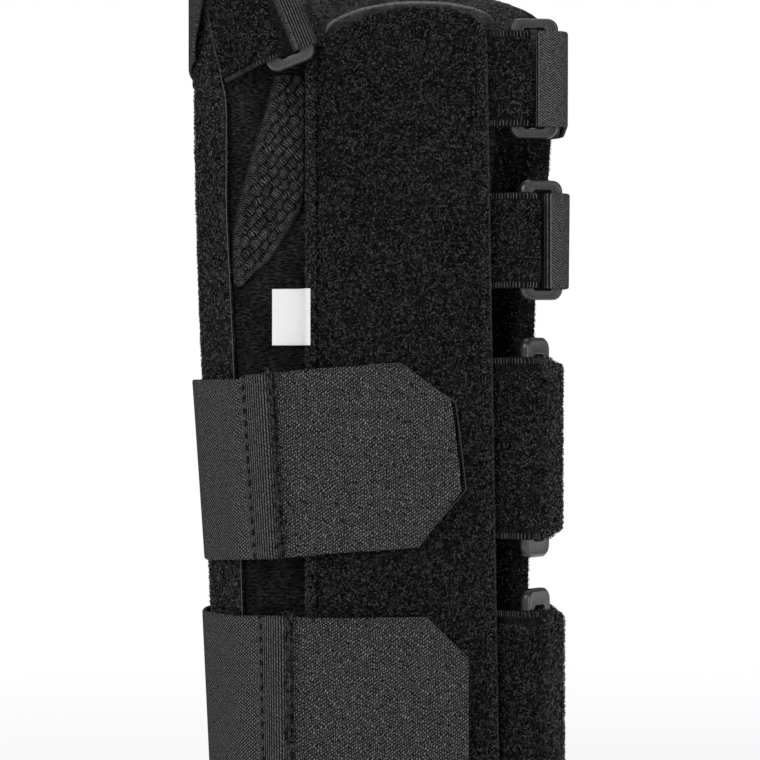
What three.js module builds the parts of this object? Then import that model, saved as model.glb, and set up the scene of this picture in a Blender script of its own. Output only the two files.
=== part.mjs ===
// Wrist and thumb brace: a C-shaped cloth sleeve closed by five ringed straps.
// Sizes in millimetres. The front panel faces -Y, the arm's length runs up +Z, the thumb is on the -X side.
import * as THREE from 'three';

// Cloth layers, measured outward from the inside of the liner
const GAP = 0.3;
const BAR_GAP = 0.5;
const LINER_OUT = 2.3;
const WRAP_IN = LINER_OUT + GAP;
const WRAP_OUT = 4.6;
const PANEL_OUT = 7.6;
const SECTION_POWER = 2.8;

// Turns a header and rows of numbers into named rows
function table(names, lines) {
  return lines.map((line) => Object.fromEntries(names.map((name, k) => [name, line[k]])));
}

// Inside section of the sleeve by height: left and right reach and half depth
const SECTIONS = table(['z', 'left', 'right', 'half'], [
  [0, -39.2, 35.8, 31.4],
  [73, -41.6, 36.2, 29.0],
  [127, -43.5, 37.8, 28.0],
  [147, -44.4, 38.5, 28.0],
  [175, -45.0, 41.9, 28.6],
  [207, -45.3, 43.6, 29.0],
  [250, -45.5, 44.0, 29.0],
]);

// Rim height round the sleeve by angle: 0 front, 90 thumb side, 180 back, 255 free edge of the flap
const RIM = table(['angle', 'height'], [
  [-52, 216], [-51.4, 219], [-50.4, 221.2], [-49, 222.4], [-45, 223.7], [-39, 224.6], [-32, 225.2], [-22, 225.4],
  [-10, 225.1], [-1, 224.5], [8, 223.5], [16, 222], [20, 220.9], [22.5, 219.7], [24, 216], [25.5, 212.2], [34, 210.2], [48, 211],
  [56, 213.5], [63, 219.5], [69, 228.5], [74, 238], [80, 244], [90, 246], [106, 246], [113, 243], [117, 236],
  [120, 222], [122.5, 206], [125.5, 198], [132, 197], [136, 204], [139, 219], [142, 229], [147, 234.5], [155, 236],
  [205, 236], [226, 233.8], [240, 230], [249, 226], [255, 220],
]);

// Columns of the sleeve's grid, closer together where the rim climbs
const FRONT_COLUMNS = [-51.7, -50.6, -48.5, -44, -35, -22, -8, 6, 16, 22, 23.8, 25.5, 32, 40, 47, 53, 58, 62, 66, 70];
const SIDE_COLUMNS = [74, 79, 86, 94, 102, 110, 116, 120, 123, 126, 129, 132, 136, 139, 142, 145, 148, 153];
const BACK_COLUMNS = [159, 167, 176, 186, 196, 206, 216, 226, 235, 242, 247, 251, 255];
const SLEEVE_ROWS = [0, 0.15, 0.3, 0.45, 0.57, 0.65, 0.71, 0.76, 0.81, 0.85, 0.89, 0.94, 1];

// Front edge of the outer wrap by height
const WRAP_EDGE = table(['z', 'x'], [
  [0, -34.8], [70, -37.2], [131, -39.4], [149, -40.2], [173, -41.2], [197, -41.0], [206, -42.4],
  [214, -44.4], [220, -45.6], [226, -46.8], [246, -49.5],
]);

// Thumb sleeve: a round section that takes over from the arm's section between two heights
const THUMB = {
  x: -34.8, y: 20, radius: 10.3, low: 150, high: 214,
  front: 50, back: 125, frontFade: 20, backFade: 148,
};

// Front panel across its width: under face, outer face and top edge
const PANEL_LOW = 1.2;
const PANEL = table(['x', 'under', 'over', 'top'], [
  [-19.5, 3.4, 5.6, 205.0], [-19.2, 3.4, 6.9, 207.5], [-18.4, 3.4, 7.6, 210.0], [-17.3, 3.4, 7.4, 211.8],
  [-16.6, 3.4, 6.9, 213.0], [-15.4, 2.6, 7.6, 214.6], [-11.8, 2.6, 7.6, 217.4], [-5.3, 2.6, 7.6, 220.5],
  [2.6, 2.6, 7.6, 222.9], [10.5, 2.6, 7.6, 223.7], [18.4, 2.6, 7.6, 223.2], [23.0, 4.4, 7.6, 222.3],
  [26.3, 4.4, 7.6, 220.9], [26.9, 4.4, 7.0, 220.4], [27.6, 4.4, 7.5, 219.8], [28.9, 4.4, 7.3, 217.4],
  [29.5, 4.4, 6.0, 213.0],
]);
const PANEL_ROWS = [0, 0.1, 0.22, 0.36, 0.5, 0.62, 0.74, 0.85, 0.93, 0.97, 1];

// The panel's right side leans outward towards the bottom: height where it stands true, and height for each millimetre
const LEAN = { level: 139.6, drop: 58, from: 0, to: 26 };

// Leaf-shaped gusset patch on the liner
const GUSSET_THICK = 0.8;
const GUSSET = table(['z', 'left', 'right'], [
  [150.2, -38.4, -37.2], [154, -38.9, -33.4], [157, -39.0, -29.6], [162.5, -38.9, -26.0], [168, -38.3, -22.6],
  [173, -37.2, -20.3], [180, -35.2, -20.1], [186.4, -33.2, -20.1], [193, -31.2, -20.1], [200, -29.2, -20.1],
  [206, -27.6, -20.1],
]);

// Side label, tucked under the panel's left edge
const LABEL = { left: -28.6, right: -17.6, low: 134.4, high: 149.4, thick: 0.4 };

// Binding along the flap's free edge: angles of its two legs and of its fold, and its thickness
const BINDING = { leg: 250.6, fold: 256.6, thick: 0.8, inside: -0.75, outside: 5.5 };

// Rings: outside width and height, slot height, bar width, thickness, edge bevel and corner
const SMALL_RING = { width: 13.2, height: 31.9, slot: 26.3, bar: 4, thick: 2.8, bevel: 0.7, corner: 3 };
const BIG_RING = { width: 13, height: 58.6, slot: 49.6, bar: 4, thick: 2.8, bevel: 0.7, corner: 3 };

// Closures on the free side: ring centre and turn, strap height and width, and where the strap runs
const CLOSURES = [
  { name: 'small', number: 1, ring: SMALL_RING, x: 40.8, y: 9.6, turn: 6, ringZ: 205.4, strapZ: 205.2,
    width: 25.5, thick: 1.2, bend: 49.4, inner: 47.7, anchor: 226, end: 154, tip: true },
  { name: 'small', number: 2, ring: SMALL_RING, x: 42.7, y: 11.2, turn: 30, ringZ: 162.5, strapZ: 162.3,
    width: 25.5, thick: 1.2, bend: 50.3, inner: 47.9, anchor: 226, end: 152, tip: true },
  { name: 'big', number: 1, ring: BIG_RING, x: 41.2, y: 13.0, turn: 60, ringZ: 107.3, strapZ: 107.1,
    width: 48.4, thick: 1.6, bend: 48.4, inner: 44.4, anchor: 226, end: 186, tip: false },
  { name: 'big', number: 2, ring: BIG_RING, x: 41.4, y: 13.0, turn: 60, ringZ: 40.4, strapZ: 39.9,
    width: 48.4, thick: 1.6, bend: 48.9, inner: 44.6, anchor: 226, end: 186, tip: false },
];
const TAB_THICK = 1.3;
const TAB_START = 23.6;
const TAB_LEAVE = 29.6;
const STEEP_TURN = 45;
const UNDER_STRAP = 6.5;
const OVER_STRAP = 5.2;

// Grey webbing of the big straps: middle height round the arm, standing off the wrap more at its top edge
const WEB_THICK = 1.2;
const WEB_OVERLAP = 3.0;
const WEB_LEAD = -37.9;
const WEB_STEPS = [206, 196, 186, 176, 166, 156, 146, 136, 127, 118, 109, 100, 92, 84, 76, 69];

// Grey strap tips across the front: lower and upper edge, distance of the inner face from the liner's inside
const TIP_THICK = 1.2;
const TIPS = [
  { number: 1, padPast: 1.3, webLow: 76.6, webHigh: 125.4, liftLow: 5.0, liftHigh: 6.6, endLow: -25.3, endHigh: -28.0, outline: table(['x', 'low', 'high', 'lift'], [
    [-37.2, 77.6, 125.2, 5.3], [-33.4, 77.8, 125.8, 6.0], [-31.5, 77.9, 126.8, 6.4], [-26.0, 78.2, 127.4, 7.5],
    [-20.6, 78.8, 128.0, 8.8],
    [-15.0, 79.4, 128.4, 9.3], [-8.0, 80.0, 128.9, 9.3], [0.0, 80.7, 129.4, 9.3], [5.3, 81.1, 129.7, 9.3],
    [10.2, 81.5, 126.2, 9.3], [15.0, 87.8, 122.7, 9.3], [18.7, 92.6, 120.0, 9.3], [21.3, 96.0, 97.0, 9.3],
  ]) },
  { number: 2, padPast: -0.4, webLow: 14.2, webHigh: 62.8, liftLow: 5.5, liftHigh: 6.1, endLow: -22.8, endHigh: -23.2, outline: table(['x', 'low', 'high', 'lift'], [
    [-37.2, 14.4, 62.6, 5.3], [-31.5, 14.4, 63.0, 6.4], [-26.0, 14.5, 63.2, 7.5], [-20.6, 14.5, 62.9, 8.8],
    [-15.0, 14.6, 62.8, 9.3], [-8.0, 14.6, 62.8, 9.3], [0.0, 14.7, 62.8, 9.3], [6.0, 14.7, 62.8, 9.3],
    [12.2, 14.8, 62.9, 9.3], [17.8, 20.2, 57.4, 9.3], [23.3, 25.6, 52.0, 9.3],
  ]) },
];
const PAD_THICK = 1.0;
const PAD_LIFT = PANEL_OUT + GAP;
const PAD_START = -13;
const PAD_INSET = 0.5;

// Thumb closure: ring centre, tilt of its long side to the left, strap width and the free corners behind it
const THUMB_RING = { x: -28.4, y: -2.1, z: 222.6, tilt: 22 };
const THUMB_STRAP = {
  width: 25.4, thick: 1.1, bend: 7.5, inner: 5.4, backInner: 39.9, backOuter: 41.5,
  anchor: 103, leave: 121, end: 69.5, rise: 9,
};

const radians = (degrees) => degrees * Math.PI / 180;
const mix = (a, b, t) => a + (b - a) * t;

// Smooth step from 0 to 1 between two values
function ramp(value, from, to) {
  const t = Math.min(1, Math.max(0, (value - from) / (to - from)));
  return t * t * (3 - 2 * t);
}

// Slope of a table's curve at row k, kept flat at peaks so that the curve never swings past its rows
function slopeAt(rows, key, name, k) {
  const step = (m) => (rows[m + 1][name] - rows[m][name]) / (rows[m + 1][key] - rows[m][key]);
  if (k === 0) return step(0);
  if (k === rows.length - 1) return step(k - 1);
  const before = step(k - 1);
  const after = step(k);
  return before * after <= 0 ? 0 : 2 * before * after / (before + after);
}

// Value of a table's smooth curve at one key
function along(rows, key, name, at) {
  const t = Math.min(rows[rows.length - 1][key], Math.max(rows[0][key], at));
  const k = Math.max(0, rows.findIndex((row) => row[key] >= t) - 1);
  const span = rows[k + 1][key] - rows[k][key];
  const s = (t - rows[k][key]) / span;
  const rise = slopeAt(rows, key, name, k) * span;
  const next = slopeAt(rows, key, name, k + 1) * span;
  const a = rows[k][name];
  const b = rows[k + 1][name];
  return a + s * (rise + s * (3 * (b - a) - 2 * rise - next + s * (2 * (a - b) + rise + next)));
}

// Point of the arm's section: a rounded oval, measured from the front
function armPoint(angle, z) {
  const left = along(SECTIONS, 'z', 'left', z);
  const right = along(SECTIONS, 'z', 'right', z);
  const half = along(SECTIONS, 'z', 'half', z);
  const across = (right - left) / 2;
  const sine = Math.sin(radians(angle));
  const cosine = Math.cos(radians(angle));
  const sum = Math.abs(cosine / half) ** SECTION_POWER + Math.abs(sine / across) ** SECTION_POWER;
  const reach = sum ** (-1 / SECTION_POWER);
  return [(left + right) / 2 - reach * sine, PANEL_OUT + half - reach * cosine];
}

// Point of the thumb sleeve's round section
function thumbPoint(angle) {
  const turn = radians((angle - THUMB.front) / (THUMB.back - THUMB.front) * 180);
  return [THUMB.x - THUMB.radius * Math.sin(turn), THUMB.y - THUMB.radius * Math.cos(turn)];
}

// Inside of the liner: the arm's section, drawn in round the thumb near the top
function insidePoint(angle, z) {
  const around = ramp(angle, THUMB.frontFade, THUMB.front) * (1 - ramp(angle, THUMB.back, THUMB.backFade));
  const share = around * ramp(z, THUMB.low, THUMB.high);
  const arm = armPoint(angle, z);
  if (share === 0) return arm;
  const thumb = thumbPoint(angle);
  return [mix(arm[0], thumb[0], share), mix(arm[1], thumb[1], share)];
}

// Point at a distance outward from the inside of the liner
function skin(angle, z, lift) {
  const [x, y] = insidePoint(angle, z);
  const before = insidePoint(angle - 0.3, z);
  const after = insidePoint(angle + 0.3, z);
  const dx = after[0] - before[0];
  const dy = after[1] - before[1];
  const length = Math.hypot(dx, dy);
  return [x - lift * dy / length, y + lift * dx / length, z];
}

// Angle at which the front half of the skin reaches a given x
function angleAt(x, z, lift) {
  let low = -80;
  let high = 88;
  for (let k = 0; k < 30; k += 1) {
    const middle = (low + high) / 2;
    if (skin(middle, z, lift)[0] > x) low = middle;
    else high = middle;
  }
  return (low + high) / 2;
}

// Front point of the skin at a given x
const front = (x, z, lift) => skin(angleAt(x, z, lift), z, lift);

// Closed solid from points and triangles, turned the right way out
function solid(points, faces) {
  const geometry = new THREE.BufferGeometry();
  geometry.setAttribute('position', new THREE.Float32BufferAttribute(points.flat(), 3));
  let volume = 0;
  for (let k = 0; k < faces.length; k += 3) {
    const [a, b, c] = [0, 1, 2].map((m) => new THREE.Vector3(...points[faces[k + m]]));
    volume += a.dot(b.cross(c));
  }
  geometry.setIndex(volume < 0 ? faces.slice().reverse() : faces);
  return geometry;
}

// Cloth with two faces from a grid: place(i, j, face) gives a point, face 0 inside and 1 outside
function slab(columns, rows, place) {
  const points = [];
  const faces = [];
  for (const face of [0, 1]) {
    for (let i = 0; i <= columns; i += 1) {
      for (let j = 0; j <= rows; j += 1) points.push(place(i, j, face));
    }
  }
  const at = (i, j, face) => (face * (columns + 1) + i) * (rows + 1) + j;
  const quad = (a, b, c, d) => faces.push(a, b, c, a, c, d);
  for (let i = 0; i < columns; i += 1) {
    for (let j = 0; j < rows; j += 1) {
      quad(at(i, j, 1), at(i + 1, j, 1), at(i + 1, j + 1, 1), at(i, j + 1, 1));
      quad(at(i, j, 0), at(i, j + 1, 0), at(i + 1, j + 1, 0), at(i + 1, j, 0));
    }
    quad(at(i, 0, 0), at(i + 1, 0, 0), at(i + 1, 0, 1), at(i, 0, 1));
    quad(at(i, rows, 1), at(i + 1, rows, 1), at(i + 1, rows, 0), at(i, rows, 0));
  }
  for (let j = 0; j < rows; j += 1) {
    quad(at(0, j, 1), at(0, j + 1, 1), at(0, j + 1, 0), at(0, j, 0));
    quad(at(columns, j, 0), at(columns, j + 1, 0), at(columns, j + 1, 1), at(columns, j, 1));
  }
  return solid(points, faces);
}

// Strap standing on edge: one path of points for each edge, thickened evenly to both sides in plan
function band(paths, thick) {
  const count = paths[0].length;
  const place = (i, j, face) => {
    const before = paths[j][Math.max(0, i - 1)];
    const after = paths[j][Math.min(count - 1, i + 1)];
    const dx = after[0] - before[0];
    const dy = after[1] - before[1];
    const shift = (face - 0.5) * thick / Math.hypot(dx, dy);
    const [x, y, z] = paths[j][i];
    return [x - shift * dy, y + shift * dx, z];
  };
  return slab(count - 1, paths.length - 1, place);
}

// Plan path through corners, each rounded by its own radius (third value) with a fixed number of points
function rounded(corners, steps = 5) {
  const path = [];
  corners.forEach(([x, y, radius], k) => {
    if (!radius) {
      path.push([x, y]);
      return;
    }
    const toward = (m) => {
      const length = Math.hypot(corners[m][0] - x, corners[m][1] - y);
      return [(corners[m][0] - x) / length, (corners[m][1] - y) / length];
    };
    const back = toward(k - 1);
    const on = toward(k + 1);
    const half = Math.acos(back[0] * on[0] + back[1] * on[1]) / 2;
    const middle = [back[0] + on[0], back[1] + on[1]];
    const scale = radius / Math.sin(half) / Math.hypot(...middle);
    const centre = [x + middle[0] * scale, y + middle[1] * scale];
    const cut = radius / Math.tan(half);
    const start = Math.atan2(y + back[1] * cut - centre[1], x + back[0] * cut - centre[0]);
    const end = Math.atan2(y + on[1] * cut - centre[1], x + on[0] * cut - centre[0]);
    const sweep = Math.atan2(Math.sin(end - start), Math.cos(end - start));
    for (let m = 0; m <= steps; m += 1) {
      const angle = start + sweep * m / steps;
      path.push([centre[0] + radius * Math.cos(angle), centre[1] + radius * Math.sin(angle)]);
    }
  });
  return path;
}

// Points of the skin between two angles as unrounded corners
function skinRun(from, to, z, lift, pieces) {
  return Array.from({ length: pieces + 1 }, (_, k) => skin(mix(from, to, k / pieces), z, lift).slice(0, 2));
}

// Liner: the whole C-shaped sheet
function makeLiner() {
  const columns = [...FRONT_COLUMNS, ...SIDE_COLUMNS, ...BACK_COLUMNS];
  return slab(columns.length - 1, SLEEVE_ROWS.length - 1, (i, j, face) => {
    const z = SLEEVE_ROWS[j] * along(RIM, 'angle', 'height', columns[i]);
    return skin(columns[i], z, face * LINER_OUT);
  });
}

// Outer wrap: fleece from its front edge round the thumb side and the back to the flap
function makeWrap() {
  const fixed = [...SIDE_COLUMNS, ...BACK_COLUMNS];
  const lead = 3;
  return slab(fixed.length - 1 + lead, SLEEVE_ROWS.length - 1, (i, j, face) => {
    const lift = mix(WRAP_IN + (i < lead ? 0.3 : 0), WRAP_OUT, face);
    const nominal = i < lead ? mix(69, fixed[0], i / lead) : fixed[i - lead];
    const z = SLEEVE_ROWS[j] * along(RIM, 'angle', 'height', nominal);
    if (i >= lead) return skin(nominal, z, lift);
    const edge = angleAt(along(WRAP_EDGE, 'z', 'x', z), z, WRAP_OUT);
    return skin(mix(edge, fixed[0], i / lead), z, lift);
  });
}

// Sideways lean of the panel's right side
const lean = (x, z) => (LEAN.level - z) / LEAN.drop * ramp(x, LEAN.from, LEAN.to);

// Front panel with a rolled rib along both sides
function makePanel() {
  return slab(PANEL.length - 1, PANEL_ROWS.length - 1, (i, j, face) => {
    const { x, under, over, top } = PANEL[i];
    const z = mix(PANEL_LOW, top, PANEL_ROWS[j]);
    const roll = j === PANEL_ROWS.length - 1 ? 1 : 0;
    return front(x + lean(x, z), z, face ? over - roll : under);
  });
}

// Leaf-shaped gusset
function makeGusset() {
  const columns = 5;
  return slab(columns, GUSSET.length - 1, (i, j, face) => {
    const { z, left, right } = GUSSET[j];
    return front(mix(left, right, i / columns), z, WRAP_IN + 0.3 + face * GUSSET_THICK);
  });
}

// Bare side label
function makeLabel() {
  const columns = 4;
  return slab(columns, 1, (i, j, face) => {
    const x = mix(LABEL.left, LABEL.right, i / columns);
    return front(x, j ? LABEL.high : LABEL.low, WRAP_IN + face * LABEL.thick);
  });
}

// Binding folded over the flap's free edge from the bottom to the rounded top corner
function makeBinding() {
  const heights = [0.4, 20, 45, 70, 95, 120, 140, 155, 170, 185, 200, 208, 215, 220.4];
  const paths = heights.map((z) => {
    const { leg, fold, inside, outside } = BINDING;
    const radius = (outside - inside) / 2 - 0.3;
    const corners = [skin(leg, z, inside), skin(fold, z, inside), skin(fold, z, outside), skin(leg, z, outside)];
    const plan = corners.map(([x, y], k) => [x, y, k === 1 || k === 2 ? radius * 0.6 : 0]);
    return rounded(plan, 3).map(([x, y]) => [x, y, z]);
  });
  return band(paths, BINDING.thick);
}

// Rounded rectangle outline
function roundRect(shape, width, height, corner) {
  const [w, h] = [width / 2, height / 2];
  shape.moveTo(-w + corner, -h);
  shape.lineTo(w - corner, -h);
  shape.quadraticCurveTo(w, -h, w, -h + corner);
  shape.lineTo(w, h - corner);
  shape.quadraticCurveTo(w, h, w - corner, h);
  shape.lineTo(-w + corner, h);
  shape.quadraticCurveTo(-w, h, -w, h - corner);
  shape.lineTo(-w, -h + corner);
  shape.quadraticCurveTo(-w, -h, -w + corner, -h);
  return shape;
}

// Ring standing on edge: bars left and right of one slot, edges bevelled
function makeRing({ width, height, slot, bar, thick, bevel, corner }) {
  const shape = roundRect(new THREE.Shape(), width, height, corner);
  shape.holes.push(roundRect(new THREE.Path(), width - 2 * bar, slot, 0.8));
  const geometry = new THREE.ExtrudeGeometry(shape, {
    depth: thick - 2 * bevel, bevelEnabled: true, bevelThickness: bevel, bevelSize: bevel,
    bevelOffset: -bevel, bevelSegments: 2, curveSegments: 3,
  });
  geometry.translate(0, 0, bevel - thick / 2);
  geometry.rotateX(Math.PI / 2);
  return geometry;
}

// Plan directions of a ring: from its left bar to its right bar, and out of its front
function ringFrame({ x, y, turn, ring }) {
  const along = [Math.cos(radians(turn)), Math.sin(radians(turn))];
  const out = [along[1], -along[0]];
  const reach = (ring.width - ring.bar) / 2;
  const spot = (a, b) => [x + along[0] * a + out[0] * b, y + along[1] * a + out[1] * b];
  return { reach, spot };
}

// Ring of one closure in its place
function placeRing(closure) {
  const geometry = makeRing(closure.ring);
  geometry.rotateZ(radians(closure.turn));
  geometry.translate(closure.x, closure.y, closure.ringZ);
  return geometry;
}

// Tab: from under the panel over the left bar, through the slot and back behind the bar
function makeTab(closure) {
  const { ring, strapZ, width } = closure;
  const { reach, spot } = ringFrame(closure);
  const round = ring.thick / 2 + BAR_GAP + TAB_THICK / 2;
  const slot = -reach + ring.bar / 2 + BAR_GAP + TAB_THICK / 2;
  const paths = [strapZ - width / 2, strapZ + width / 2].map((z) => {
    const lift = WRAP_IN + 0.25 + TAB_THICK / 2;
    const aside = Math.max(0, lean(TAB_LEAVE, z));
    const start = front(TAB_START + aside, z, lift);
    const leave = front(TAB_LEAVE + aside, z, lift);
    const edge = -reach - ring.bar / 2;
    const ease = closure.turn > STEEP_TURN ? [[...spot(edge - 1.4, -0.8), 1.2]] : [];
    const corners = [
      [start[0], start[1], 0], [leave[0], leave[1], 0], ...ease, [...spot(edge - 0.6, round + 0.1), 1.6],
      [...spot(slot, round), round * 0.98], [...spot(slot, -round), round * 0.98], [...spot(-reach + 0.3, -round), 0],
    ];
    return rounded(corners, 4).map(([x, y]) => [x, y, z]);
  });
  return band(paths, TAB_THICK);
}

// Plan corners of a strap that comes up through a slot, folds over the right bar and turns back again
function foldCorners({ spot, reach }, { ring, thick, inner, bend, x, turn }) {
  const round = ring.thick / 2 + BAR_GAP + thick / 2;
  const slot = reach - ring.bar / 2 - BAR_GAP - thick / 2;
  const sine = Math.sin(radians(turn));
  const cosine = Math.cos(radians(turn));
  const outTo = (limit) => (limit - x - sine * round) / cosine;
  const inTo = (limit) => (limit - x + sine * round) / cosine;
  return [
    [...spot(inTo(inner), -round), 2.2], [...spot(slot, -round), round * 0.98],
    [...spot(slot, round), round * 0.98], [...spot(outTo(bend), round), 2.8],
  ];
}

// Strap: sewn to the flap, forward to the ring, over its right bar and back round the outside
function makeStrap(closure) {
  const { strapZ, width, thick, anchor, end, tip } = closure;
  const inner = UNDER_STRAP + thick / 2;
  const outer = inner + thick + GAP;
  const settle = OVER_STRAP + thick / 2;
  const last = Math.ceil((anchor - end) / 9);
  const paths = [-0.5, 0.5].map((side) => {
    const z = strapZ + side * width;
    const corners = [
      ...skinRun(anchor, 256.5, z, inner, 4), ...foldCorners(ringFrame(closure), closure),
      ...skinRun(256.5, anchor - 2, z, outer, 4),
    ];
    for (let k = 1; k <= last; k += 1) {
      const angle = mix(anchor - 6, end, k / last);
      corners.push(skin(angle, z, tip ? settle : mix(outer, settle + 0.6, ramp(k, 0, 2))).slice(0, 2));
    }
    const plan = rounded(corners, 4);
    return plan.map(([x, y], k) => {
      const clip = tip && k === plan.length - 1 ? 0.3 : 0;
      return [x, y, z - side * width * clip * 2];
    });
  });
  return band(paths, thick);
}

// Grey webbing: from its join at the back round the thumb side to the sewn seam at the front
function makeWeb({ webLow, webHigh, liftLow, liftHigh, endLow, endHigh, outline }) {
  const paths = [0, 0.5, 1].map((share) => {
    const z = mix(webLow, webHigh, share);
    const round = WEB_STEPS.map((angle) => {
      const over = WEB_OVERLAP * ramp(angle, 168, 186);
      return skin(angle, z, mix(liftLow, liftHigh, share) + over + WEB_THICK / 2);
    });
    const across = [0, 0.2, 0.6, 1].map((part) => {
      const x = mix(WEB_LEAD, mix(endLow, endHigh, share), part);
      const low = along(outline, 'x', 'low', x);
      const high = along(outline, 'x', 'high', x);
      const lift = along(outline, 'x', 'lift', x) + TIP_THICK + GAP + 0.1 + WEB_THICK / 2;
      return front(x, mix(low, high, share), lift);
    });
    return [...round, ...across];
  });
  return band(paths, WEB_THICK);
}

// Strap tip with clipped corners, lying across the panel
function makeTip({ outline }) {
  return slab(outline.length - 1, 2, (i, j, face) => {
    const { x, low, high, lift } = outline[i];
    return front(x, mix(low, high, j / 2), lift + face * TIP_THICK);
  });
}

// Hook pad under a strap tip
function makePad({ padPast, outline }) {
  const spots = outline.filter(({ x }) => x > PAD_START);
  return slab(spots.length - 1, 1, (i, j, face) => {
    const { x, low, high } = spots[i];
    const past = padPast * ramp(x, 12, 21);
    return front(x + past, j ? high - PAD_INSET : low + PAD_INSET, PAD_LIFT + face * PAD_THICK);
  });
}

// Thumb closure's tilted frame: p across the ring, q in depth, s along the ring's long side
function tilted(p, q, s) {
  const { x, y, z, tilt } = THUMB_RING;
  const sine = Math.sin(radians(tilt));
  const cosine = Math.cos(radians(tilt));
  return [x + p * cosine - s * sine, y + q, z + p * sine + s * cosine];
}

// Skin point of the thumb sleeve that lies at s in the tilted frame, as p and q
function tiltedSkin(angle, s, lift) {
  const { x, y, z, tilt } = THUMB_RING;
  const sine = Math.sin(radians(tilt));
  const cosine = Math.cos(radians(tilt));
  let point = skin(angle, z, lift);
  for (let k = 0; k < 12; k += 1) point = skin(angle, z + (s + (point[0] - x) * sine) / cosine, lift);
  return [(point[0] - x) * cosine + (point[2] - z) * sine, point[1] - y];
}

// Thumb ring in its place
function makeThumbRing() {
  const geometry = makeRing(SMALL_RING);
  geometry.rotateY(-radians(THUMB_RING.tilt));
  geometry.translate(THUMB_RING.x, THUMB_RING.y, THUMB_RING.z);
  return geometry;
}

// Thumb tab: from the wrap's front edge over the ring's left bar and back behind it
function makeThumbTab() {
  const reach = (SMALL_RING.width - SMALL_RING.bar) / 2;
  const round = SMALL_RING.thick / 2 + BAR_GAP + TAB_THICK / 2;
  const slot = -reach + SMALL_RING.bar / 2 + BAR_GAP + TAB_THICK / 2;
  const paths = [-0.5, 0, 0.5].map((side) => {
    const s = side * THUMB_STRAP.width;
    const lift = WRAP_IN + 0.4 + TAB_THICK / 2;
    let z = THUMB_RING.z;
    let start = [0, 0];
    for (let k = 0; k < 12; k += 1) {
      const spot = front(along(WRAP_EDGE, 'z', 'x', z) + 1.1, z, lift);
      start = [spot[0], spot[1] - THUMB_RING.y];
      const sine = Math.sin(radians(THUMB_RING.tilt));
      z = THUMB_RING.z + (s + (spot[0] - THUMB_RING.x) * sine) / Math.cos(radians(THUMB_RING.tilt));
    }
    const flat = (start[0] - THUMB_RING.x) * Math.cos(radians(THUMB_RING.tilt));
    const p = flat + (z - THUMB_RING.z) * Math.sin(radians(THUMB_RING.tilt));
    const corners = [
      [p, start[1], 0], [-reach - 3.0, -round - 0.1, 4], [slot, -round, round * 0.98],
      [slot, round, round * 0.98], [-reach + 0.3, round, 0],
    ];
    return rounded(corners, 4).map(([a, b]) => tilted(a, b, s));
  });
  return band(paths, TAB_THICK);
}

// Thumb strap: from the sleeve's back edge round the thumb to the ring, over its right bar and back to the left face
function makeThumbStrap() {
  const { width, thick, bend, inner, backInner, backOuter, anchor, leave, end, rise } = THUMB_STRAP;
  const reach = (SMALL_RING.width - SMALL_RING.bar) / 2;
  const round = SMALL_RING.thick / 2 + BAR_GAP + thick / 2;
  const slot = reach - SMALL_RING.bar / 2 - BAR_GAP - thick / 2;
  const under = WRAP_OUT + 1.1 + thick / 2;
  const over = under + thick + GAP;
  const flank = WRAP_OUT + 0.7 + thick / 2;
  const climb = (angle) => rise * (1 - ramp(angle, end + 6, leave));
  const run = (from, to, s, lift, pieces) => Array.from({ length: pieces + 1 }, (_, k) => {
    const angle = mix(from, to, k / pieces);
    const spot = tiltedSkin(angle, s + climb(angle), lift(angle));
    return { spot, shift: climb(angle) };
  });
  const paths = [-0.5, -0.25, 0, 0.25, 0.5].map((side) => {
    const s = side * width;
    const start = run(anchor, leave, s, () => under, 4);
    const settle = (angle) => mix(flank, over, ramp(angle, anchor - 8, anchor - 2)) + 0.9 * (1 - ramp(angle, end, 84));
    const finish = run(leave, end, s, settle, 12);
    const corners = [
      ...start.map(({ spot }) => spot), [inner - 2, backInner, 6], [inner, round, 2.2], [slot, round, round * 0.98],
      [slot, -round, round * 0.98], [bend, -round, 2.4], [bend - 1.2, backOuter, 7.5], ...finish.map(({ spot }) => spot),
    ];
    const plan = rounded(corners, 4);
    return plan.map(([p, q], k) => {
      const tail = finish[k - (plan.length - finish.length)];
      const head = start[k];
      const shift = head ? head.shift : 0;
      const clip = k === plan.length - 1 ? 0.55 : 1;
      return tilted(p, q, s * clip + (tail ? tail.shift : shift));
    });
  });
  return band(paths, thick);
}

// Every piece by name
function makePieces() {
  const pieces = {
    liner: makeLiner(),
    outer_wrap: makeWrap(),
    front_panel: makePanel(),
    flap_binding: makeBinding(),
    gusset: makeGusset(),
    side_label: makeLabel(),
    thumb_tab: makeThumbTab(),
    thumb_ring: makeThumbRing(),
    thumb_strap: makeThumbStrap(),
  };
  for (const closure of CLOSURES) {
    const { name, number } = closure;
    const strap = name === 'big' ? 'big_loop_strap' : 'small_strap';
    pieces[`${name}_tab_${number}`] = makeTab(closure);
    pieces[`${name}_ring_${number}`] = placeRing(closure);
    pieces[`${strap}_${number}`] = makeStrap(closure);
  }
  for (const tip of TIPS) {
    pieces[`big_web_strap_${tip.number}`] = makeWeb(tip);
    pieces[`strap_tip_${tip.number}`] = makeTip(tip);
    pieces[`hook_pad_${tip.number}`] = makePad(tip);
  }
  return pieces;
}

// The whole brace, stood on the origin with its box centred in X and Y
function makeBrace() {
  const pieces = makePieces();
  const box = new THREE.Box3();
  for (const geometry of Object.values(pieces)) {
    geometry.computeBoundingBox();
    box.union(geometry.boundingBox);
  }
  const centre = box.getCenter(new THREE.Vector3());
  const brace = new THREE.Group();
  brace.name = 'wrist_thumb_brace';
  for (const [name, geometry] of Object.entries(pieces)) {
    geometry.translate(-centre.x, -centre.y, -box.min.z);
    const mesh = new THREE.Mesh(geometry, new THREE.MeshStandardMaterial());
    mesh.name = name;
    brace.add(mesh);
  }
  return brace;
}

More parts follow.
